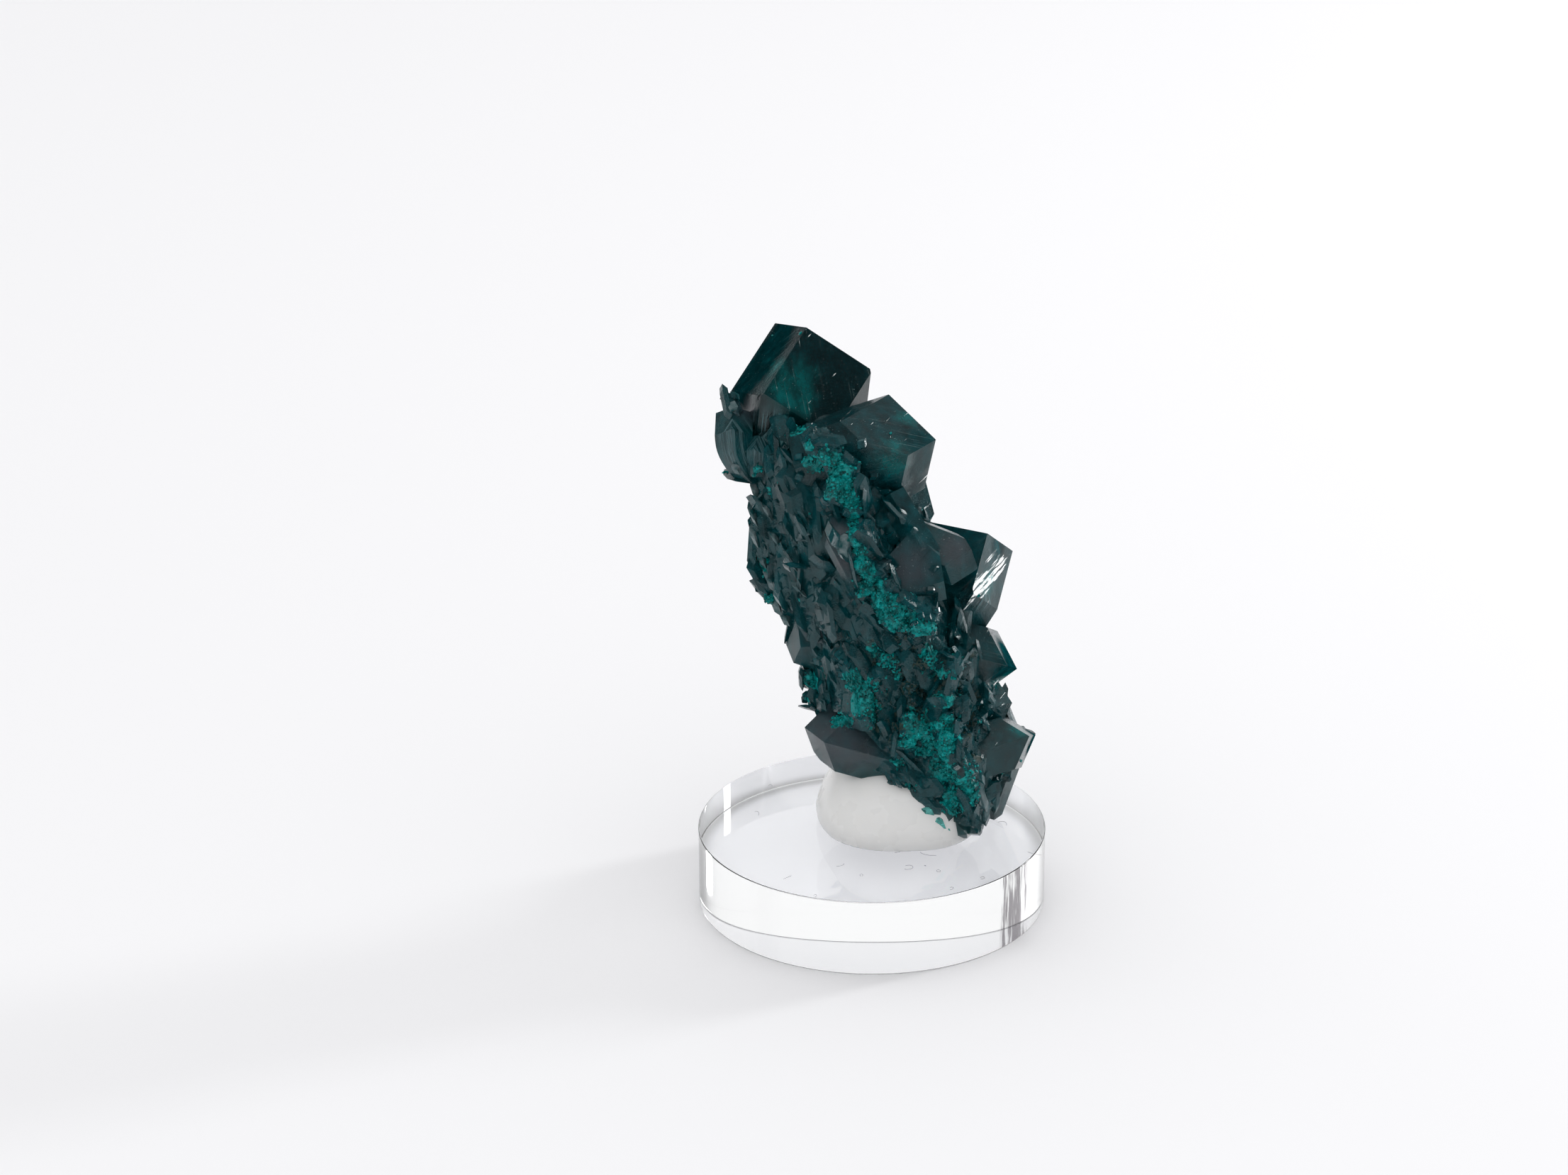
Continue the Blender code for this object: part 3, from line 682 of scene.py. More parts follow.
def hidden_pattern(name, long):
    """A small crystal that only Geometry Nodes see, as the pattern for the strewn ones."""
    made = bpy.data.objects.new(name + "_pattern", small_crystal(name, long))
    bpy.context.scene.collection.objects.link(made)
    made.hide_render = True
    return made


# Finishes

# Patterns on the crystals: size in millimetres, detail, roughness
CLOUD = (1.6, 4.0, 0.62)
CRUMB = (0.33, 3.0, 0.6)
PITS = (0.09, 2.0, 0.6)
WISP = (0.9, 4.0, 0.7)
TUFT = (0.8, 3.0, 0.7)
SPECK = (0.075, 0.0, 0.5)
# Patterns that run along the crystals, in the same terms, and how far each is drawn out
LINE = (0.30, 3.0, 0.7)
LINE_DRAWN = (0.03, 1.0, 1.0)
SCRATCH = (0.10, 1.0, 0.5)
SCRATCH_DRAWN = (0.02, 1.0, 1.0)
GROWTH_STEP = (2.2, 2.0, 0.5)
GROWTH_STEP_DRAWN = (0.25, 1.0, 1.0)
LINED_PATCH = (3.5, 1.0, 0.5)
RIDGE = (0.22, 3.0, 0.7)
RIDGE_DRAWN = (0.07, 1.0, 1.0)
# How strongly the ridges turn the face towards the window, against its own direction
RIDGE_TURN = 12.0
# Grey painted into the colour as the reflection that some faces show
PAINTED_REFLECTION_COLOUR = (0.062, 0.066, 0.080)
STRIAE_COLOUR = (0.075, 0.150, 0.165)
SPECK_COLOUR = (0.30, 0.34, 0.33)
SCRATCH_COLOUR = (0.10, 0.14, 0.14)
CLEAR_COLOUR = (0.72, 0.97, 0.94, 1.0)
# Least share of a crystal's surface that is coloured, where the rest is clear
COLOURED_SHARE = 0.78
# Gloss of the crystal's coloured share, below the 0.5 of a plain surface
BODY_GLOSS = 0.16
CRYSTAL_IOR = 1.66
# How quickly the crystal takes up light, per metre
CRYSTAL_DENSITY = 3200.0
# Roughness of strewn crystals, which carry no value for it
STREWN_BROKEN = 0.15


def tinted(shade, amount):
    """A colour made darker or brighter."""
    return [min(1.0, part * amount) for part in shade]


def ridged_normal(look, normal):
    """Turns streaks of the ridged spots so that they mirror the window to the front."""
    right, up, back = camera_axes()
    along = right * math.cos(RIDGES_SLANT) + up * math.sin(RIDGES_SLANT)
    across = up * math.cos(RIDGES_SLANT) - right * math.sin(RIDGES_SLANT)
    parts = [
        look.node("ShaderNodeVectorMath", {"operation": "DOT_PRODUCT"},
                  {0: look.place, 1: way}).outputs["Value"] for way in (along, across)]
    lines = look.node("ShaderNodeCombineXYZ", {}, {"X": parts[0], "Y": parts[1]}).outputs[0]
    streak = look.noise(*RIDGE, lines, RIDGE_DRAWN)
    share = (look.attribute("ridged") * 0.62 + streak.swing(3.2)).step(0.50, 0.72)
    face = Vector(MAIN_CRYSTALS[RIDGED_CRYSTAL][0])
    window = (Vector(WINDOW_PLACE) - face).normalized()
    turned = look.vector("SCALE", (window + back).normalized(), share * RIDGE_TURN)
    return look.vector("NORMALIZE", look.vector("ADD", normal, turned))


def crystal_finish(name, colours, main):
    """Deep green crystal that goes milky and sugary where the surface is broken.

    Only the main group carries values and lines for it. Strewn crystals stay plain.
    """
    look = Finish(name)

    def value(key, plain=0.0):
        """What the group's mesh holds under a key, or a plain number on strewn crystals."""
        return look.attribute(key) if main else number(look.tree, plain)

    cloud = look.noise(*CLOUD)
    crumb = look.noise(*CRUMB)
    pits = look.noise(*PITS)
    wisp = look.noise(*WISP, stretch=(1.0, 1.0, 0.5))
    tuft = look.noise(*TUFT)
    broken = value("broken", STREWN_BROKEN)
    crushed = (value("sugar") * 1.25 + crumb.swing(1.5) + cloud.swing(2.4)).step(0.5, 1.0)
    glow = (value("veil") * 0.9 + cloud.swing(1.2) + wisp.swing(1.2)).step(0.1, 1.5)
    stained = (value("pitted") * 1.3 + crumb.swing(1.6)).step(0.3, 0.9)
    shade = look.blend(
        (wisp - 0.25) * 2.0, tinted(colours.deep, 0.4), tinted(colours.deep, 2.0))
    if main:
        dark = tinted(colours.deep, 0.2)
        shade = look.blend(look.attribute("tone") + wisp.swing(0.3), dark, shade)
        # Painted reflection: grey blended into the colour where faces show a reflection
        shade = look.blend(look.attribute("haze") * (cloud + 0.1), shade, PAINTED_REFLECTION_COLOUR)
    shade = look.blend(stained, shade, colours.pitted)
    # Painted glow: sugary green blended into the colour where light seems to come through
    shade = look.blend(glow * 0.3, shade, colours.sugar)
    tufted = look.blend(
        (tuft - 0.36) * 3.4 + pits.swing(0.8), tinted(colours.sugar, 0.16), colours.sugar)
    shade = look.blend(crushed, shade, tufted)
    shade = look.blend(look.noise(*SPECK).step(0.80, 0.86) * 0.5, shade, SPECK_COLOUR)
    relief = pits.swing(0.25) + crumb * broken + crushed * crumb * 0.6
    normal = look.bump(relief, 0.10, 0.8)
    if main:
        lines = look.node("ShaderNodeUVMap", {"uv_map": "grain"}).outputs[0]
        line = look.noise(*LINE, lines, LINE_DRAWN)
        scratch = look.noise(*SCRATCH, lines, SCRATCH_DRAWN).step(0.66, 0.74)
        growth = look.noise(*GROWTH_STEP, lines, GROWTH_STEP_DRAWN)
        shade = look.blend(scratch * 0.35, shade, SCRATCH_COLOUR)
        striae = look.attribute("striae")
        lined = look.noise(*LINED_PATCH).step(0.50, 0.62) + striae * 1.2
        shade = look.blend((striae * line.step(0.50, 0.60)).clamped(), shade, STRIAE_COLOUR)
        relief = line * (1 - broken) * (0.15 + lined) + growth * 0.6 + scratch * 0.4
        normal = ridged_normal(look, look.bump(relief, 0.03, 0.6, normal))
    coloured = look.surface(
        Base_Color=shade, Roughness=0.13 + crushed * 0.3 + stained * 0.2, IOR=CRYSTAL_IOR,
        Specular_IOR_Level=BODY_GLOSS, Normal=normal)
    clear = look.surface(
        Base_Color=CLEAR_COLOUR, Roughness=0.05 + pits * 0.08, IOR=CRYSTAL_IOR,
        Transmission_Weight=1.0, Normal=normal)
    share = COLOURED_SHARE + crushed * 0.30 + stained * 0.4 + glow * 0.2 + broken * 0.2
    whole = look.mix(share.clamped(), clear, coloured)
    if main:
        dull = look.surface(Base_Color=shade, Roughness=0.5, Specular_IOR_Level=0.0)
        whole = look.mix(look.attribute("dull"), whole, dull)
    depth = look.node("ShaderNodeVolumeAbsorption", {},
                      {"Color": (*colours.absorption, 1.0), "Density": CRYSTAL_DENSITY})
    return look.finish(whole, depth.outputs[0])


GRAIN_IOR = 1.5
GRAIN_PATCH = (0.9, 3.0, 0.7)
GRAIN_MOTTLE = (0.16, 2.0, 0.6)
GRAIN_PITS = (0.07, 2.0, 0.6)


def sugar_finish(name, green):
    """Crushed green grains with a wet sparkle."""
    look = Finish(name)
    mottle = look.noise(*GRAIN_MOTTLE)
    shade = look.blend(mottle, tinted(green, 0.6), green)
    shade = look.blend((look.noise(*GRAIN_PATCH) - 0.36) * 3.4, tinted(green, 0.10), shade)
    bright = [min(1.0, part * 1.5 + 0.01) for part in green]
    shade = look.blend((mottle - 0.55).step(0.0, 0.2) * 0.7, shade, bright)
    return look.finish(look.surface(
        Base_Color=shade, Roughness=0.22 + mottle * 0.3, IOR=GRAIN_IOR,
        Specular_IOR_Level=BODY_GLOSS, Normal=look.bump(look.noise(*GRAIN_PITS), 0.03, 0.6)))


# Dark plates, and the pale grey reflection painted into their colour in patches
PLATE_DARK = (0.008, 0.060, 0.064)
PLATE_PAINTED_REFLECTION = (0.150, 0.195, 0.205)
PLATE_CLOUD = (0.7, 3.0, 0.6)


def plate_finish():
    """Thin dark plates with a pale reflection painted into their colour."""
    look = Finish("pale plate")
    cloud = look.noise(*PLATE_CLOUD)
    # Painted reflection: pale patches laid by a cloud pattern
    shade = look.blend((cloud - 0.35) * 3.0, PLATE_DARK, PLATE_PAINTED_REFLECTION)
    return look.finish(look.surface(
        Base_Color=shade, Roughness=0.12 + cloud * 0.15, IOR=CRYSTAL_IOR,
        Specular_IOR_Level=BODY_GLOSS, Normal=look.bump(cloud, 0.02, 0.5)))


PUTTY_IOR = 1.45
# How far red, green and blue light spread inside the putty, in millimetres
PUTTY_SPREAD = (1.2, 1.15, 1.1)
PUTTY_CLOUD = (2.5, 3.0, 0.5)
PUTTY_DIMPLES = (1.4, 2.0, 0.5)
PUTTY_PITS = (0.2, 2.0, 0.5)


def putty_finish(colours):
    """Milky putty, smooth with faint dimples."""
    look = Finish("milky putty")
    cloud = look.noise(*PUTTY_CLOUD)
    shade = look.blend(cloud, tinted(colours.putty, 0.95), colours.putty)
    relief = look.noise(*PUTTY_DIMPLES) + look.noise(*PUTTY_PITS) * 0.04
    return look.finish(look.surface(
        Base_Color=shade, Roughness=0.22 + cloud * 0.12, IOR=PUTTY_IOR,
        Normal=look.bump(relief, 0.10, 0.35), Subsurface_Weight=0.5,
        Subsurface_Radius=PUTTY_SPREAD, Subsurface_Scale=MM, Coat_Weight=0.25,
        Coat_Roughness=0.12))


ACRYLIC_IOR = 1.49
# Dark colour painted on the side wall for the refraction of something dark
PAINTED_REFRACTION_COLOUR = (0.10, 0.09, 0.10)
WIPE_MARKS = (0.8, 3.0, 0.6)
PAINTED_REFRACTION_STREAKS = (0.45, 3.0, 0.7)


def acrylic_finish(colours):
    """Polished clear acrylic with faint wipe marks, and a dark refraction painted in streaks on
    part of its side wall.
    """
    look = Finish("clear acrylic")
    wipe = look.noise(*WIPE_MARKS, stretch=(0.25, 1.0, 1.0))
    # Painted dark refraction: streaks on the marked part of the side wall
    streak = look.noise(*PAINTED_REFRACTION_STREAKS, stretch=(1.0, 1.0, 0.08)).step(0.38, 0.54)
    tint = look.blend(look.attribute("smudge") * streak, colours.acrylic, PAINTED_REFRACTION_COLOUR)
    return look.finish(look.surface(
        Base_Color=tint, Roughness=0.004 + wipe * 0.012, IOR=ACRYLIC_IOR,
        Transmission_Weight=1.0))


LINT_DARK = (0.10, 0.085, 0.08)
LINT_PALE = (0.34, 0.32, 0.33)


def lint_finish():
    """Grey-brown lint."""
    look = Finish("lint")
    speck = look.noise(0.2, 2.0, 0.5)
    shade = look.blend(speck, LINT_DARK, LINT_PALE)
    return look.finish(look.surface(Base_Color=shade, Roughness=0.7 + speck * 0.2))


# The crystal group

# Corners of the frame's mesh closer than this, in metres, are one
MERGE_DISTANCE = 1e-6
# How often long edges are cut in half at most
MOST_CUTS = 5


def mark_flat_areas(shell):
    """Writes on each face the area in square millimetres of the flat facet it belongs to."""
    layer = shell.faces.layers.float.new("flat_area")
    seen = set()
    for start in shell.faces:
        if start in seen:
            continue
        seen.add(start)
        facet = [start]
        for face in facet:
            for edge in face.edges:
                for beside in edge.link_faces:
                    if beside not in seen and beside.normal.dot(start.normal) > FLAT_ENOUGH:
                        seen.add(beside)
                        facet.append(beside)
        area = sum(face.calc_area() for face in facet) / MM ** 2
        for face in facet:
            face[layer] = area


def crystal_body(sizes):
    """The frame's crystal group as a clean mesh, with the area of its flat facet on each face."""
    shell = bmesh.new()
    shell.from_mesh(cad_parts["dioptase_cluster"].data)
    bmesh.ops.remove_doubles(shell, verts=shell.verts, dist=MERGE_DISTANCE)
    shell.normal_update()
    mark_flat_areas(shell)
    for _ in range(MOST_CUTS):
        long = [edge for edge in shell.edges if edge.calc_length() > sizes.longest_edge]
        if not long:
            break
        bmesh.ops.subdivide_edges(shell, edges=long, cuts=1)
        bmesh.ops.triangulate(shell, faces=shell.faces)
    mesh = bpy.data.meshes.new("dioptase_crystals")
    shell.to_mesh(mesh)
    shell.free()
    mesh.materials.clear()
    return mesh


def owners(mesh):
    """For each face, which main crystal it lies on, or -1, and its normal."""
    centres = read_values(mesh.polygons, "center", 3) / MM
    normals = read_values(mesh.polygons, "normal", 3)
    owner = np.full(len(mesh.polygons), -1)
    for index, crystal in enumerate(MAIN_CRYSTALS):
        for plane, distance in zip(*crystal_planes(*crystal)):
            near = np.abs(centres @ plane - distance) < PLANE_REACH
            along = normals @ plane > PLANE_COSINE
            owner[near & along] = index
    return owner, normals


def lay_grain(mesh, owner, normals, points):
    """A UV map in metres whose first direction runs along the crystal each face lies on."""
    axes = np.array([c[1] for c in MAIN_CRYSTALS] + [COMMON_AXIS], float)
    axes /= np.linalg.norm(axes, axis=1)[:, None]
    axis = axes[owner]
    across = np.cross(normals, axis)
    across /= np.maximum(np.linalg.norm(across, axis=1), TOLERANCE)[:, None]
    along = np.cross(across, normals)
    face = np.repeat(np.arange(len(mesh.polygons)), 3)
    places = np.stack([(points * along[face]).sum(1), (points * across[face]).sum(1)], 1)
    layer = mesh.uv_layers.new(name="grain")
    layer.data.foreach_set("uv", places.astype(np.float32).ravel())


def spot_values(points, spots, tree):
    """How strongly each point lies in the nearest spot seen in the photograph, 0 to 1."""
    values = np.zeros(len(points))
    for u, v, radius in spots:
        centre = on_mesh(tree, u, v)
        if centre is not None:
            away = np.linalg.norm(points - centre, axis=1) / pixels_to_mm(radius)
            values = np.maximum(values, np.clip(SPOT_FADE - away, 0, 1))
    return values


# Seams of the hidden sides follow one level of a slow wave, in waves per millimetre
HIDDEN_SLOPE = -0.1
HIDDEN_DEPTH = 4.0
SEAM_WAVE = 0.28
SEAM_SHIFT = Vector((7.1, 0, 0))
SEAM_LEVEL = 0.06
SEAM_NARROWNESS = 9.0


def far_seams(points, normals):
    """Green seams for the sides that the photograph doesn't show."""
    values = np.zeros(len(points))
    for index, point in enumerate(points):
        if normals[index][1] > HIDDEN_SLOPE or point[1] > HIDDEN_DEPTH:
            wave = noise.noise(Vector(point) * SEAM_WAVE + SEAM_SHIFT)
            values[index] = max(0.0, 1.0 - abs(wave - SEAM_LEVEL) * SEAM_NARROWNESS)
    return values


def lie_directions(points, normals):
    """The direction that small crystals lie in, along the surface at each point."""
    places = np.array([place for place, _ in LIE_OF_CRYSTALS], float)
    ways = np.array([way for _, way in LIE_OF_CRYSTALS], float)
    near = ((points[:, None] - places[None]) ** 2).sum(2)
    share = 1 / (near + 1.0) ** 2
    way = (share[..., None] * ways[None]).sum(1) / share.sum(1)[:, None]
    way -= normals * (way * normals).sum(1)[:, None]
    return way / np.maximum(np.linalg.norm(way, axis=1), TOLERANCE)[:, None]


def round_foot(points, chosen):
    """Draws in the lower end of a crystal that ends in the open."""
    tip, axis = (np.array(part) for part in MAIN_CRYSTALS[ROUNDED][:2])
    below = (tip - points[chosen]) @ (axis / np.linalg.norm(axis))
    drawn = np.clip((below - FOOT_START) / FOOT_LENGTH, 0, 1) ** 2
    points[chosen, 0] += drawn * FOOT_DRAW


def dress_body(mesh, sizes):
    """Roughens the broken ground and writes the values that the finishes read."""
    corners = read_values(mesh.loops, "vertex_index", kind=np.int32)
    points = read_values(mesh.vertices, "co", 3) / MM
    owner, face_normals = owners(mesh)
    lay_grain(mesh, owner, face_normals, points[corners] * MM)
    corners = corners.reshape(-1, 3)
    areas = read_values(mesh.attributes["flat_area"].data, "value")

    def points_of(faces):
        """Which points lie on the chosen faces."""
        marked = np.zeros(len(points), bool)
        marked[corners[faces].ravel()] = True
        return marked

    main = points_of(owner >= 0)
    clean = main | points_of(areas > CLEAN_FACET)
    tone = np.ones(len(points))
    for index, share in TONES:
        tone[points_of(owner == index)] = share
    round_foot(points, points_of(owner == ROUNDED))
    normals = read_values(mesh.vertex_normals, "vector", 3)
    tree = BVHTree.FromPolygons([Vector(p) * MM for p in points], [tuple(c) for c in corners])
    sugar = spot_values(points, SUGAR_SPOTS, tree)
    sugar = np.maximum(sugar, far_seams(points, normals) * ~clean)
    pitted = spot_values(points, PITTED_SPOTS, tree) * ~main
    veil = spot_values(points, PAINTED_GLOW_SPOTS, tree)
    depth = sizes.roughness_depth / MM
    for index in np.flatnonzero(~clean):
        place = Vector(points[index])
        wave = noise.noise(place * COARSE_WAVE) + FINE_SHARE * noise.noise(place * FINE_WAVE)
        points[index] += normals[index] * wave * depth
    mesh.vertices.foreach_set("co", (points * MM).astype(np.float32).ravel())
    mesh.update()
    dull = np.minimum(1, 2 * spot_values(points, DULL_SPOTS, tree))
    half_dull = np.minimum(HALF_DULL, spot_values(points, HALF_DULL_SPOTS, tree))
    broken = (~clean).astype(float)
    high = points[:, 2] > STREWN_ABOVE
    open_ground = np.clip(1.2 - sugar * 1.5, 0, 1) * ~main * (normals[:, 2] > STREWN_SLOPE)
    front = np.where(normals @ np.array(FRONT_WAY) > 0, 1.0, BACK_SHARE)
    patchy = np.array([noise.noise(Vector(p) * PATCH_WAVE) for p in points])
    for name, values in {
        "sugar": sugar, "pitted": pitted, "veil": veil, "tone": tone, "broken": broken,
        "ridged": spot_values(points, RIDGED_SPOTS, tree),
        "striae": spot_values(points, STRIAE_SPOTS, tree),
        "haze": spot_values(points, PAINTED_REFLECTION_SPOTS, tree),
        "dull": np.maximum(dull, half_dull),
        "druse": open_ground * high * front,
        "grains": np.clip(sugar * 1.5 - 0.55 + patchy, 0, 1) * high,
        "crumbs": np.clip(pitted * 1.3 - 0.2, 0, 1) * broken * high,
    }.items():
        set_values(mesh, name, values)
    set_values(mesh, "lie", lie_directions(points, normals), "FLOAT_VECTOR")


class DIOPTASE_OT_crystals(bpy.types.Operator):
    """Build the crystal group over the frame's solid"""

    bl_idname = "dioptase.crystals"
    bl_label = "Crystal Group"

    def execute(self, context):
        sizes = context.scene.dioptase_sizes
        colours = context.scene.dioptase_colours
        mesh = crystal_body(sizes)
        dress_body(mesh, sizes)
        mesh.materials.append(crystal_finish("dioptase crystal", colours, True))
        add_piece("dioptase_crystals", mesh, "dioptase", "dioptase_cluster")
        return {"FINISHED"}


# Small slabs: half length of the pattern, its thickness in millimetres, and how far it stands out
SLAB_LENGTH = 1.4
SLAB_THICKNESS = 0.35
SLAB_LIFT = 0.1
# Width of a slab against the width given in its table
SLAB_WIDTH = 0.8


def slab_mesh(name, ground, slabs, towards, finish):
    """Small slabs whose broad face mirrors what lies towards a place to the front."""
    tree = BVHTree.FromPolygons(
        [v.co.copy() for v in ground.vertices], [tuple(p.vertices) for p in ground.polygons])
    right, up, back = camera_axes()
    slab = small_crystal("slab", SLAB_LENGTH)
    made = bmesh.new()
    for u, v, length, width, slant in slabs:
        place = beside_outline(tree, u, v)
        mirrored = (Vector(towards) - Vector(place)).normalized()
        outward = (mirrored + back).normalized()
        run = right * math.cos(math.radians(slant)) + up * math.sin(math.radians(slant))
        run = (run - outward * run.dot(outward)).normalized()
        turn = Matrix((outward, run.cross(outward) * -1, run)).transposed().to_4x4()
        scale = Matrix.Diagonal((
            SLAB_THICKNESS, pixels_to_mm(width) * SLAB_WIDTH,
            pixels_to_mm(length) / (2 * SLAB_LENGTH), 1.0))
        start = len(made.verts)
        made.from_mesh(slab)
        made.verts.ensure_lookup_table()
        where = Matrix.Translation((Vector(place) + outward * SLAB_LIFT) * MM) @ turn @ scale
        for corner in made.verts[start:]:
            corner.co = where @ (corner.co * MM)
    bmesh.ops.recalc_face_normals(made, faces=made.faces)
    mesh = bpy.data.meshes.new(name)
    made.to_mesh(mesh)
    made.free()
    mesh.materials.append(finish)
    return mesh


# Most small crystals or grains on a square metre, before their spacing thins them
DRUSE_DENSITY = 4e6
GRAIN_DENSITY = 6e7
# How far each strays from its lie
DRUSE_SPREAD = 0.16
GRAIN_SPREAD = 1.5
# How deep a small crystal sits in the ground, as a share of its radius
DRUSE_SINK = 0.2
GRAIN_FLATNESS = 0.9
# Half lengths of the patterns, whose radius is 1
LONG_CRYSTAL = 2.6
SHORT_CRYSTAL = 1.2
GRAIN_LENGTH = 0.9


class DIOPTASE_OT_druse(bpy.types.Operator):
    """Strew small crystals over the broken ground"""

    bl_idname = "dioptase.druse"
    bl_label = "Small Crystals"

    def execute(self, context):
        sizes = context.scene.dioptase_sizes
        colours = context.scene.dioptase_colours
        ground = bpy.data.objects["dioptase_crystals"].data
        finish = crystal_finish("small dioptase crystal", colours, False)
        long = hidden_pattern("long_crystal", LONG_CRYSTAL)
        short = hidden_pattern("short_crystal", SHORT_CRYSTAL)
        tree = strew_tree("strew_crystals", "druse")
        for name, pattern, scale, flatness, seed in (
            ("flat_crystals", long, 1.0, 0.40, 5), ("small_chips", short, 0.55, 0.55, 9),
        ):
            mesh = run_tree(tree, ground, {
                "Pattern": pattern, "Spacing": sizes.druse_spacing * scale,
                "Density": DRUSE_DENSITY, "Size": sizes.druse_size * scale,
                "Spread": DRUSE_SPREAD, "Flatness": flatness,
                "Sink": sizes.druse_size * scale * DRUSE_SINK, "Seed": seed,
                "Material": finish})
            add_piece(name, mesh, "dioptase")
            bpy.data.objects.remove(pattern)
        turquoise = sugar_finish("turquoise crust", TURQUOISE_COLOUR)
        for name, slabs, towards, dressed in (
            ("glinting_facets", GLINTS, WINDOW_PLACE, finish),
            ("edge_plates", PLATES, PLATES_FACE, plate_finish()),
            ("turquoise_crust", TURQUOISE, camera_place(), turquoise),
        ):
            add_piece(name, slab_mesh(name, ground, slabs, towards, dressed), "dioptase")
        return {"FINISHED"}


class DIOPTASE_OT_grains(bpy.types.Operator):
    """Strew sugary grains along the green seams"""

    bl_idname = "dioptase.grains"
    bl_label = "Sugary Grains"

    def execute(self, context):
        sizes = context.scene.dioptase_sizes
        colours = context.scene.dioptase_colours
        ground = bpy.data.objects["dioptase_crystals"].data
        pattern = hidden_pattern("grain", GRAIN_LENGTH)
        for name, where, finish, seed, scale in (
            ("sugary_grains", "grains", sugar_finish("sugary green", colours.sugar), 11, 1.0),
            ("dark_crumbs", "crumbs", crystal_finish("dark crumb", colours, False), 17, 0.9),
        ):
            tree = strew_tree("strew_" + name, where)
            mesh = run_tree(tree, ground, {
                "Pattern": pattern, "Spacing": sizes.grain_spacing,
                "Density": GRAIN_DENSITY, "Size": sizes.grain_size * scale,
                "Spread": GRAIN_SPREAD, "Flatness": GRAIN_FLATNESS, "Sink": 0.0,
                "Seed": seed, "Material": finish})
            add_piece(name, mesh, "dioptase")
        bpy.data.objects.remove(pattern)
        return {"FINISHED"}


# Putty: its centre, and its half width at each height above the disc
PUTTY_CENTRE = (2.1, 1.1)
PUTTY_ROWS = (
    (0.0, 5.75), (0.06, 5.95), (0.3, 6.12), (0.9, 6.2), (1.7, 6.08), (2.6, 5.8), (3.5, 5.35),
    (4.4, 4.7), (5.2, 3.9), (5.9, 2.9), (6.35, 1.8), (6.55, 0.8),
)
PUTTY_SIDES = 72
PUTTY_LIFT = 0.01
PUTTY_CROWN = 0.05
PUTTY_WIDTH = 0.98
PUTTY_SQUARENESS = 2.35
PUTTY_SHARP = 60
# Waves in the putty's outline: how many for each half width, and how deep
PUTTY_WAVES = ((1.4, 0.03), (4.0, 0.012))
# How quickly those waves change upwards
PUTTY_WAVE_RISE = 0.35


def putty_mesh():
    """A rounded dome of putty pressed onto the disc."""
    points = []
    for height, half in PUTTY_ROWS:
        for side in range(PUTTY_SIDES):
            turn = math.tau * side / PUTTY_SIDES
            right = math.cos(turn)
            back = math.sin(turn)
            corner = abs(right) ** PUTTY_SQUARENESS + abs(back) ** PUTTY_SQUARENESS
            place = Vector((right, back, height * PUTTY_WAVE_RISE))
            wave = 1 + sum(depth * noise.noise(place * pace) for pace, depth in PUTTY_WAVES)
            reach = half * PUTTY_WIDTH * wave * corner ** (-1 / PUTTY_SQUARENESS)
            points.append((
                PUTTY_CENTRE[0] + reach * right, PUTTY_CENTRE[1] + reach * back,
                DISC_TOP + PUTTY_LIFT + height))
    points.append((*PUTTY_CENTRE, DISC_TOP + PUTTY_ROWS[-1][0] + PUTTY_CROWN))
    faces = [tuple(range(PUTTY_SIDES - 1, -1, -1))]
    faces += ring_walls(len(PUTTY_ROWS), PUTTY_SIDES)
    last = (len(PUTTY_ROWS) - 1) * PUTTY_SIDES
    for side in range(PUTTY_SIDES):
        faces.append((last + side, last + (side + 1) % PUTTY_SIDES, len(points) - 1))
    return smooth_mesh("putty_mount", points, faces, PUTTY_SHARP)


class DIOPTASE_OT_putty(bpy.types.Operator):
    """Build the putty that holds the tip of the group"""

    bl_idname = "dioptase.putty"
    bl_label = "Putty"

    def execute(self, context):
        mesh = putty_mesh()
        mesh.materials.append(putty_finish(context.scene.dioptase_colours))
        add_piece("putty_mount", mesh, "milky_putty", "mounting_putty")
        return {"FINISHED"}


# The clear disc, and how many rows of faces its rounded rims have
DISC_SIDES = 256
DISC_ROUNDS = 5
DISC_SHARP = 35
# Dark refraction painted in streaks on the side wall, in degrees to the right of the front
PAINTED_REFRACTION_FROM = 46.0
PAINTED_REFRACTION_TO = 61.0
# Narrow flat rings beside the rounding, as a share of it, keep its shading off the flats
DISC_FLAT_SHARE = 0.15


def disc_mesh(edge):
    """The turned disc with rounded rims."""
    flat = DISC_FLAT_SHARE * edge
    profile = [(DISC_RADIUS - edge - flat, 0.0)]
    for corner in range(DISC_ROUNDS):
        turn = math.pi / 2 * corner / (DISC_ROUNDS - 1)
        profile.append((DISC_RADIUS - edge + edge * math.sin(turn), edge - edge * math.cos(turn)))
    profile.append((DISC_RADIUS, edge + flat))
    profile += [(radius, DISC_TOP - height) for radius, height in reversed(profile)]
    points = []
    for radius, height in profile:
        for side in range(DISC_SIDES):
            turn = math.tau * side / DISC_SIDES
            points.append((radius * math.cos(turn), radius * math.sin(turn), height))
    faces = ring_walls(len(profile), DISC_SIDES)
    top = (len(profile) - 1) * DISC_SIDES
    faces.append(tuple(range(DISC_SIDES - 1, -1, -1)))
    faces.append(tuple(range(top, top + DISC_SIDES)))
    mesh = smooth_mesh("acrylic_disc", points, faces, DISC_SHARP)
    smudge = []
    for x, y, height in points:
        turn = math.degrees(math.atan2(x, -y))
        on_wall = math.hypot(x, y) > DISC_RADIUS - 0.01
        smudge.append(1.0 if on_wall and PAINTED_REFRACTION_FROM < turn < PAINTED_REFRACTION_TO else 0.0)
    set_values(mesh, "smudge", smudge)
    return mesh


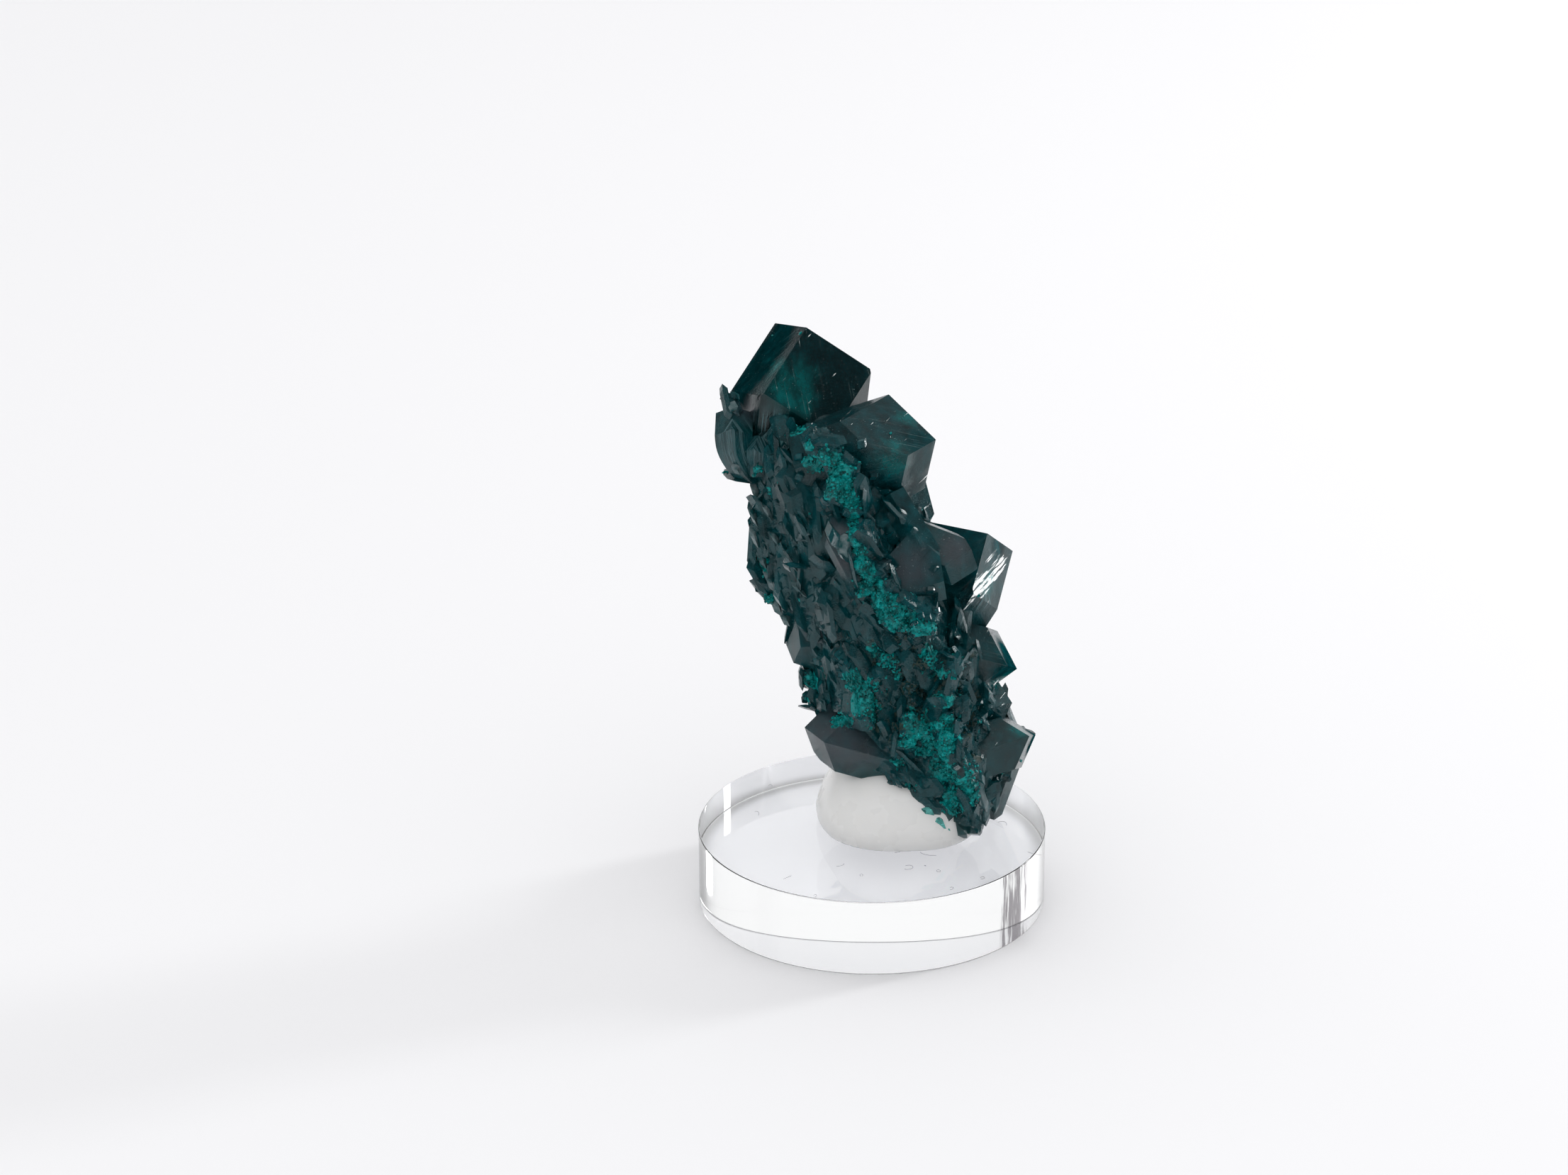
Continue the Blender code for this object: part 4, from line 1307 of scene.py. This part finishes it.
class DIOPTASE_OT_disc(bpy.types.Operator):
    """Build the clear round base"""

    bl_idname = "dioptase.disc"
    bl_label = "Clear Disc"

    def execute(self, context):
        mesh = disc_mesh(context.scene.dioptase_sizes.disc_edge / MM)
        mesh.materials.append(acrylic_finish(context.scene.dioptase_colours))
        add_piece("acrylic_disc", mesh, "clear_acrylic", "acrylic_base")
        return {"FINISHED"}


# Lint on the disc: u, v, length in millimetres, heading in degrees, curl in degrees per step
LINT = (
    (1105, 1240, 0.8, 20, 4), (1262, 1203, 1.2, -10, 14), (1276, 1226, 1.6, -40, 22),
    (1298, 1202, 1.5, -75, 9), (1326, 1230, 0.9, 60, 30), (1450, 1202, 1.1, -60, 6),
    (1340, 1252, 0.7, 10, -18), (1216, 1236, 0.6, 35, 26), (1180, 1222, 0.9, -25, 12),
    (1070, 1150, 0.8, 70, 8), (1084, 1108, 0.3, 0, 0), (1408, 1160, 1.0, 25, -12),
    (1150, 1265, 0.5, 15, 20), (1384, 1240, 0.8, -30, 25), (1306, 1222, 0.5, 80, 40),
)
LINT_STEPS = 12
LINT_SIDES = 6
# Height of a fibre's ends above the disc, and how much higher its middle arches
LINT_LIFT = 0.03
LINT_ARCH = 0.05


class DIOPTASE_OT_lint(bpy.types.Operator):
    """Lay lint fibres on the clear disc"""

    bl_idname = "dioptase.lint"
    bl_label = "Lint"

    def execute(self, context):
        points = []
        edges = []
        for u, v, length, heading, curl in LINT:
            place = on_level(u, v, DISC_TOP)
            for step in range(LINT_STEPS + 1):
                arch = LINT_ARCH * math.sin(math.pi * step / LINT_STEPS)
                points.append((place + Vector((0, 0, LINT_LIFT + arch))) * MM)
                if step:
                    edges.append((len(points) - 2, len(points) - 1))
                turn = math.radians(heading + curl * step)
                place += Vector((math.cos(turn), math.sin(turn), 0)) * (length / LINT_STEPS)
        paths = bpy.data.meshes.new("lint_paths")
        paths.from_pydata(points, edges, [])
        tree, given, result = new_tree("lint_fibres", {"Radius": "Float", "Material": "Material"})
        curve = add_node(tree, "GeometryNodeMeshToCurve", {}, {"Mesh": given["Geometry"]})
        ring = add_node(tree, "GeometryNodeCurvePrimitiveCircle", {"mode": "RADIUS"},
                        {"Resolution": LINT_SIDES, "Radius": given["Radius"]})
        tube = add_node(tree, "GeometryNodeCurveToMesh", {}, {
            "Curve": curve.outputs[0], "Profile Curve": ring.outputs["Curve"], "Fill Caps": True})
        close_tree(tree, tube.outputs[0], given["Material"], result)
        radius = context.scene.dioptase_sizes.fibre_thickness / 2
        mesh = run_tree(tree, paths, {"Radius": radius, "Material": lint_finish()})
        add_piece("lint", mesh, "clear_acrylic")
        return {"FINISHED"}


# Stage: a wide soft light from above and a window on the right that faces mirror
WINDOW_PLACE = (408, 190, 110)
WINDOW_AIM = (0, 0, 20)
WINDOW_SIZE = (60, 220)
WINDOW_POWER = 1.0
OVERHEAD_TURN = (18.0, -8.0)
OVERHEAD_SPREAD = 140.0
OVERHEAD_POWER = 1.76
FLOOR_SIZE = 6000.0
FLOOR_DROP = 0.05
# Glow painted on the floor below the disc as emission, for the light that the clear disc gathers
# there
PAINTED_FLOOR_GLOW = (0.34, 0.34, 0.36)
# Where under the disc that painted glow starts to fade, as a share of the radius
PAINTED_GLOW_FADE = 0.9
# Brightness of the sky low down, straight behind, high up and overhead
SKY_LOW = 0.10
SKY_BACK = 1.0
SKY_HIGH = 0.42
SKY_ZENITH = 1.2
# Where each part of the sky fades in, as parts of a direction of length 1
BACK_SIDES = (0.05, 0.5)
BACK_RISE = (0.24, 0.33)
HIGH_RISE = (0.42, 0.78)
ZENITH_RISE = (0.90, 0.99)


def add_window():
    """A tall soft light on the right, which the faces mirror."""
    lamp = bpy.data.lights.new("right_window", "AREA")
    lamp.shape = "RECTANGLE"
    lamp.size = WINDOW_SIZE[0] * MM
    lamp.size_y = WINDOW_SIZE[1] * MM
    lamp.energy = WINDOW_POWER
    made = bpy.data.objects.new("right_window", lamp)
    made.location = Vector(WINDOW_PLACE) * MM
    made.rotation_euler = (
        Vector(WINDOW_AIM) - Vector(WINDOW_PLACE)).to_track_quat("-Z", "Y").to_euler()
    bpy.context.scene.collection.objects.link(made)


def add_overhead():
    """A very wide soft light from above, too diffuse to be mirrored."""
    lamp = bpy.data.lights.new("overhead", "SUN")
    lamp.energy = OVERHEAD_POWER
    lamp.angle = math.radians(OVERHEAD_SPREAD)
    made = bpy.data.objects.new("overhead", lamp)
    made.rotation_euler = [math.radians(turn) for turn in OVERHEAD_TURN] + [0.0]
    made.visible_glossy = False
    bpy.context.scene.collection.objects.link(made)


def add_sky():
    """A soft sky: a pale backdrop straight behind, bright overhead and dim elsewhere."""
    sky = bpy.data.worlds.new("soft sky")
    sky.use_nodes = True
    tree = sky.node_tree
    tree.nodes.clear()
    way = add_node(tree, "ShaderNodeTexCoord").outputs["Generated"]
    parts = add_node(tree, "ShaderNodeSeparateXYZ", {}, {0: way}).outputs
    height = Number(tree, parts["Z"])
    behind = Number(tree, parts["Y"]).step(*BACK_SIDES) * height.step(*BACK_RISE)
    level = behind * (SKY_BACK - SKY_LOW) + SKY_LOW
    high = height.step(*HIGH_RISE)
    level = level * (1 - high) + high * SKY_HIGH
    zenith = height.step(*ZENITH_RISE)
    level = level * (1 - zenith) + zenith * SKY_ZENITH
    light = add_node(
        tree, "ShaderNodeBackground", {}, {"Color": (1, 1, 1, 1), "Strength": level})
    end = tree.nodes.new("ShaderNodeOutputWorld")
    tree.links.new(light.outputs[0], end.inputs[0])
    bpy.context.scene.world = sky


def add_camera():
    """The camera, fitted to the photograph."""
    right, up, back = camera_axes()
    lens = bpy.data.cameras.new("camera")
    lens.lens = LENS
    lens.sensor_width = SENSOR
    lens.clip_start = 0.01
    made = bpy.data.objects.new("camera", lens)
    turn = Matrix((right, up, back)).transposed().to_4x4()
    made.matrix_world = Matrix.Translation(camera_place() * MM) @ turn
    bpy.context.scene.collection.objects.link(made)
    bpy.context.scene.camera = made


class DIOPTASE_OT_stage(bpy.types.Operator):
    """Set the pale floor, the soft lights and the camera"""

    bl_idname = "dioptase.stage"
    bl_label = "Stage"

    def execute(self, context):
        half = FLOOR_SIZE / 2 * MM
        corners = [(x, y, -FLOOR_DROP * MM) for x, y in
                   ((-half, -half), (half, -half), (half, half), (-half, half))]
        mesh = bpy.data.meshes.new("floor")
        mesh.from_pydata(corners, [], [(0, 1, 2, 3)])
        look = Finish("pale floor")
        length = look.node("ShaderNodeVectorMath", {"operation": "LENGTH"}, {0: look.place})
        away = Number(look.tree, length.outputs["Value"])
        # Painted light: the floor glows under the disc, though it is no lamp
        under = 1 - away.step(DISC_RADIUS * MM * PAINTED_GLOW_FADE, DISC_RADIUS * MM)
        painted_floor_glow = look.blend(under, (0, 0, 0), PAINTED_FLOOR_GLOW)
        surface = look.surface(
            Base_Color=colour(context.scene.dioptase_colours.floor), Roughness=0.7,
            Emission_Color=painted_floor_glow, Emission_Strength=1.0)
        mesh.materials.append(look.finish(surface))
        floor = bpy.data.objects.new("floor", mesh)
        context.scene.collection.objects.link(floor)
        add_window()
        add_overhead()
        add_sky()
        add_camera()
        context.scene.view_settings.view_transform = "Standard"
        return {"FINISHED"}


class DIOPTASE_PT_panel(bpy.types.Panel):
    """Sizes, colours and pieces of the dioptase specimen"""

    bl_idname = "DIOPTASE_PT_panel"
    bl_label = "Dioptase"
    bl_space_type = "VIEW_3D"
    bl_region_type = "UI"
    bl_category = "Dioptase"

    def draw(self, context):
        for group in (context.scene.dioptase_sizes, context.scene.dioptase_colours):
            box = self.layout.box()
            for name in group.bl_rna.properties.keys():
                if name not in ("rna_type", "name"):
                    box.prop(group, name)
        for operator in OPERATORS:
            self.layout.operator(operator.bl_idname)


OPERATORS = (
    DIOPTASE_OT_crystals, DIOPTASE_OT_druse, DIOPTASE_OT_grains, DIOPTASE_OT_putty,
    DIOPTASE_OT_disc, DIOPTASE_OT_lint, DIOPTASE_OT_stage,
)
CLASSES = (DioptaseSizes, DioptaseColours, *OPERATORS, DIOPTASE_PT_panel)


def register():
    for kind in CLASSES:
        bpy.utils.register_class(kind)
    bpy.types.Scene.dioptase_sizes = bpy.props.PointerProperty(type=DioptaseSizes)
    bpy.types.Scene.dioptase_colours = bpy.props.PointerProperty(type=DioptaseColours)


def unregister():
    del bpy.types.Scene.dioptase_colours
    del bpy.types.Scene.dioptase_sizes
    for kind in reversed(CLASSES):
        bpy.utils.unregister_class(kind)


def main():
    register()
    bpy.ops.dioptase.crystals()
    bpy.ops.dioptase.druse()
    bpy.ops.dioptase.grains()
    bpy.ops.dioptase.putty()
    bpy.ops.dioptase.disc()
    bpy.ops.dioptase.lint()
    bpy.ops.dioptase.stage()
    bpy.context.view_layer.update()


if __name__ == "__main__":
    main()
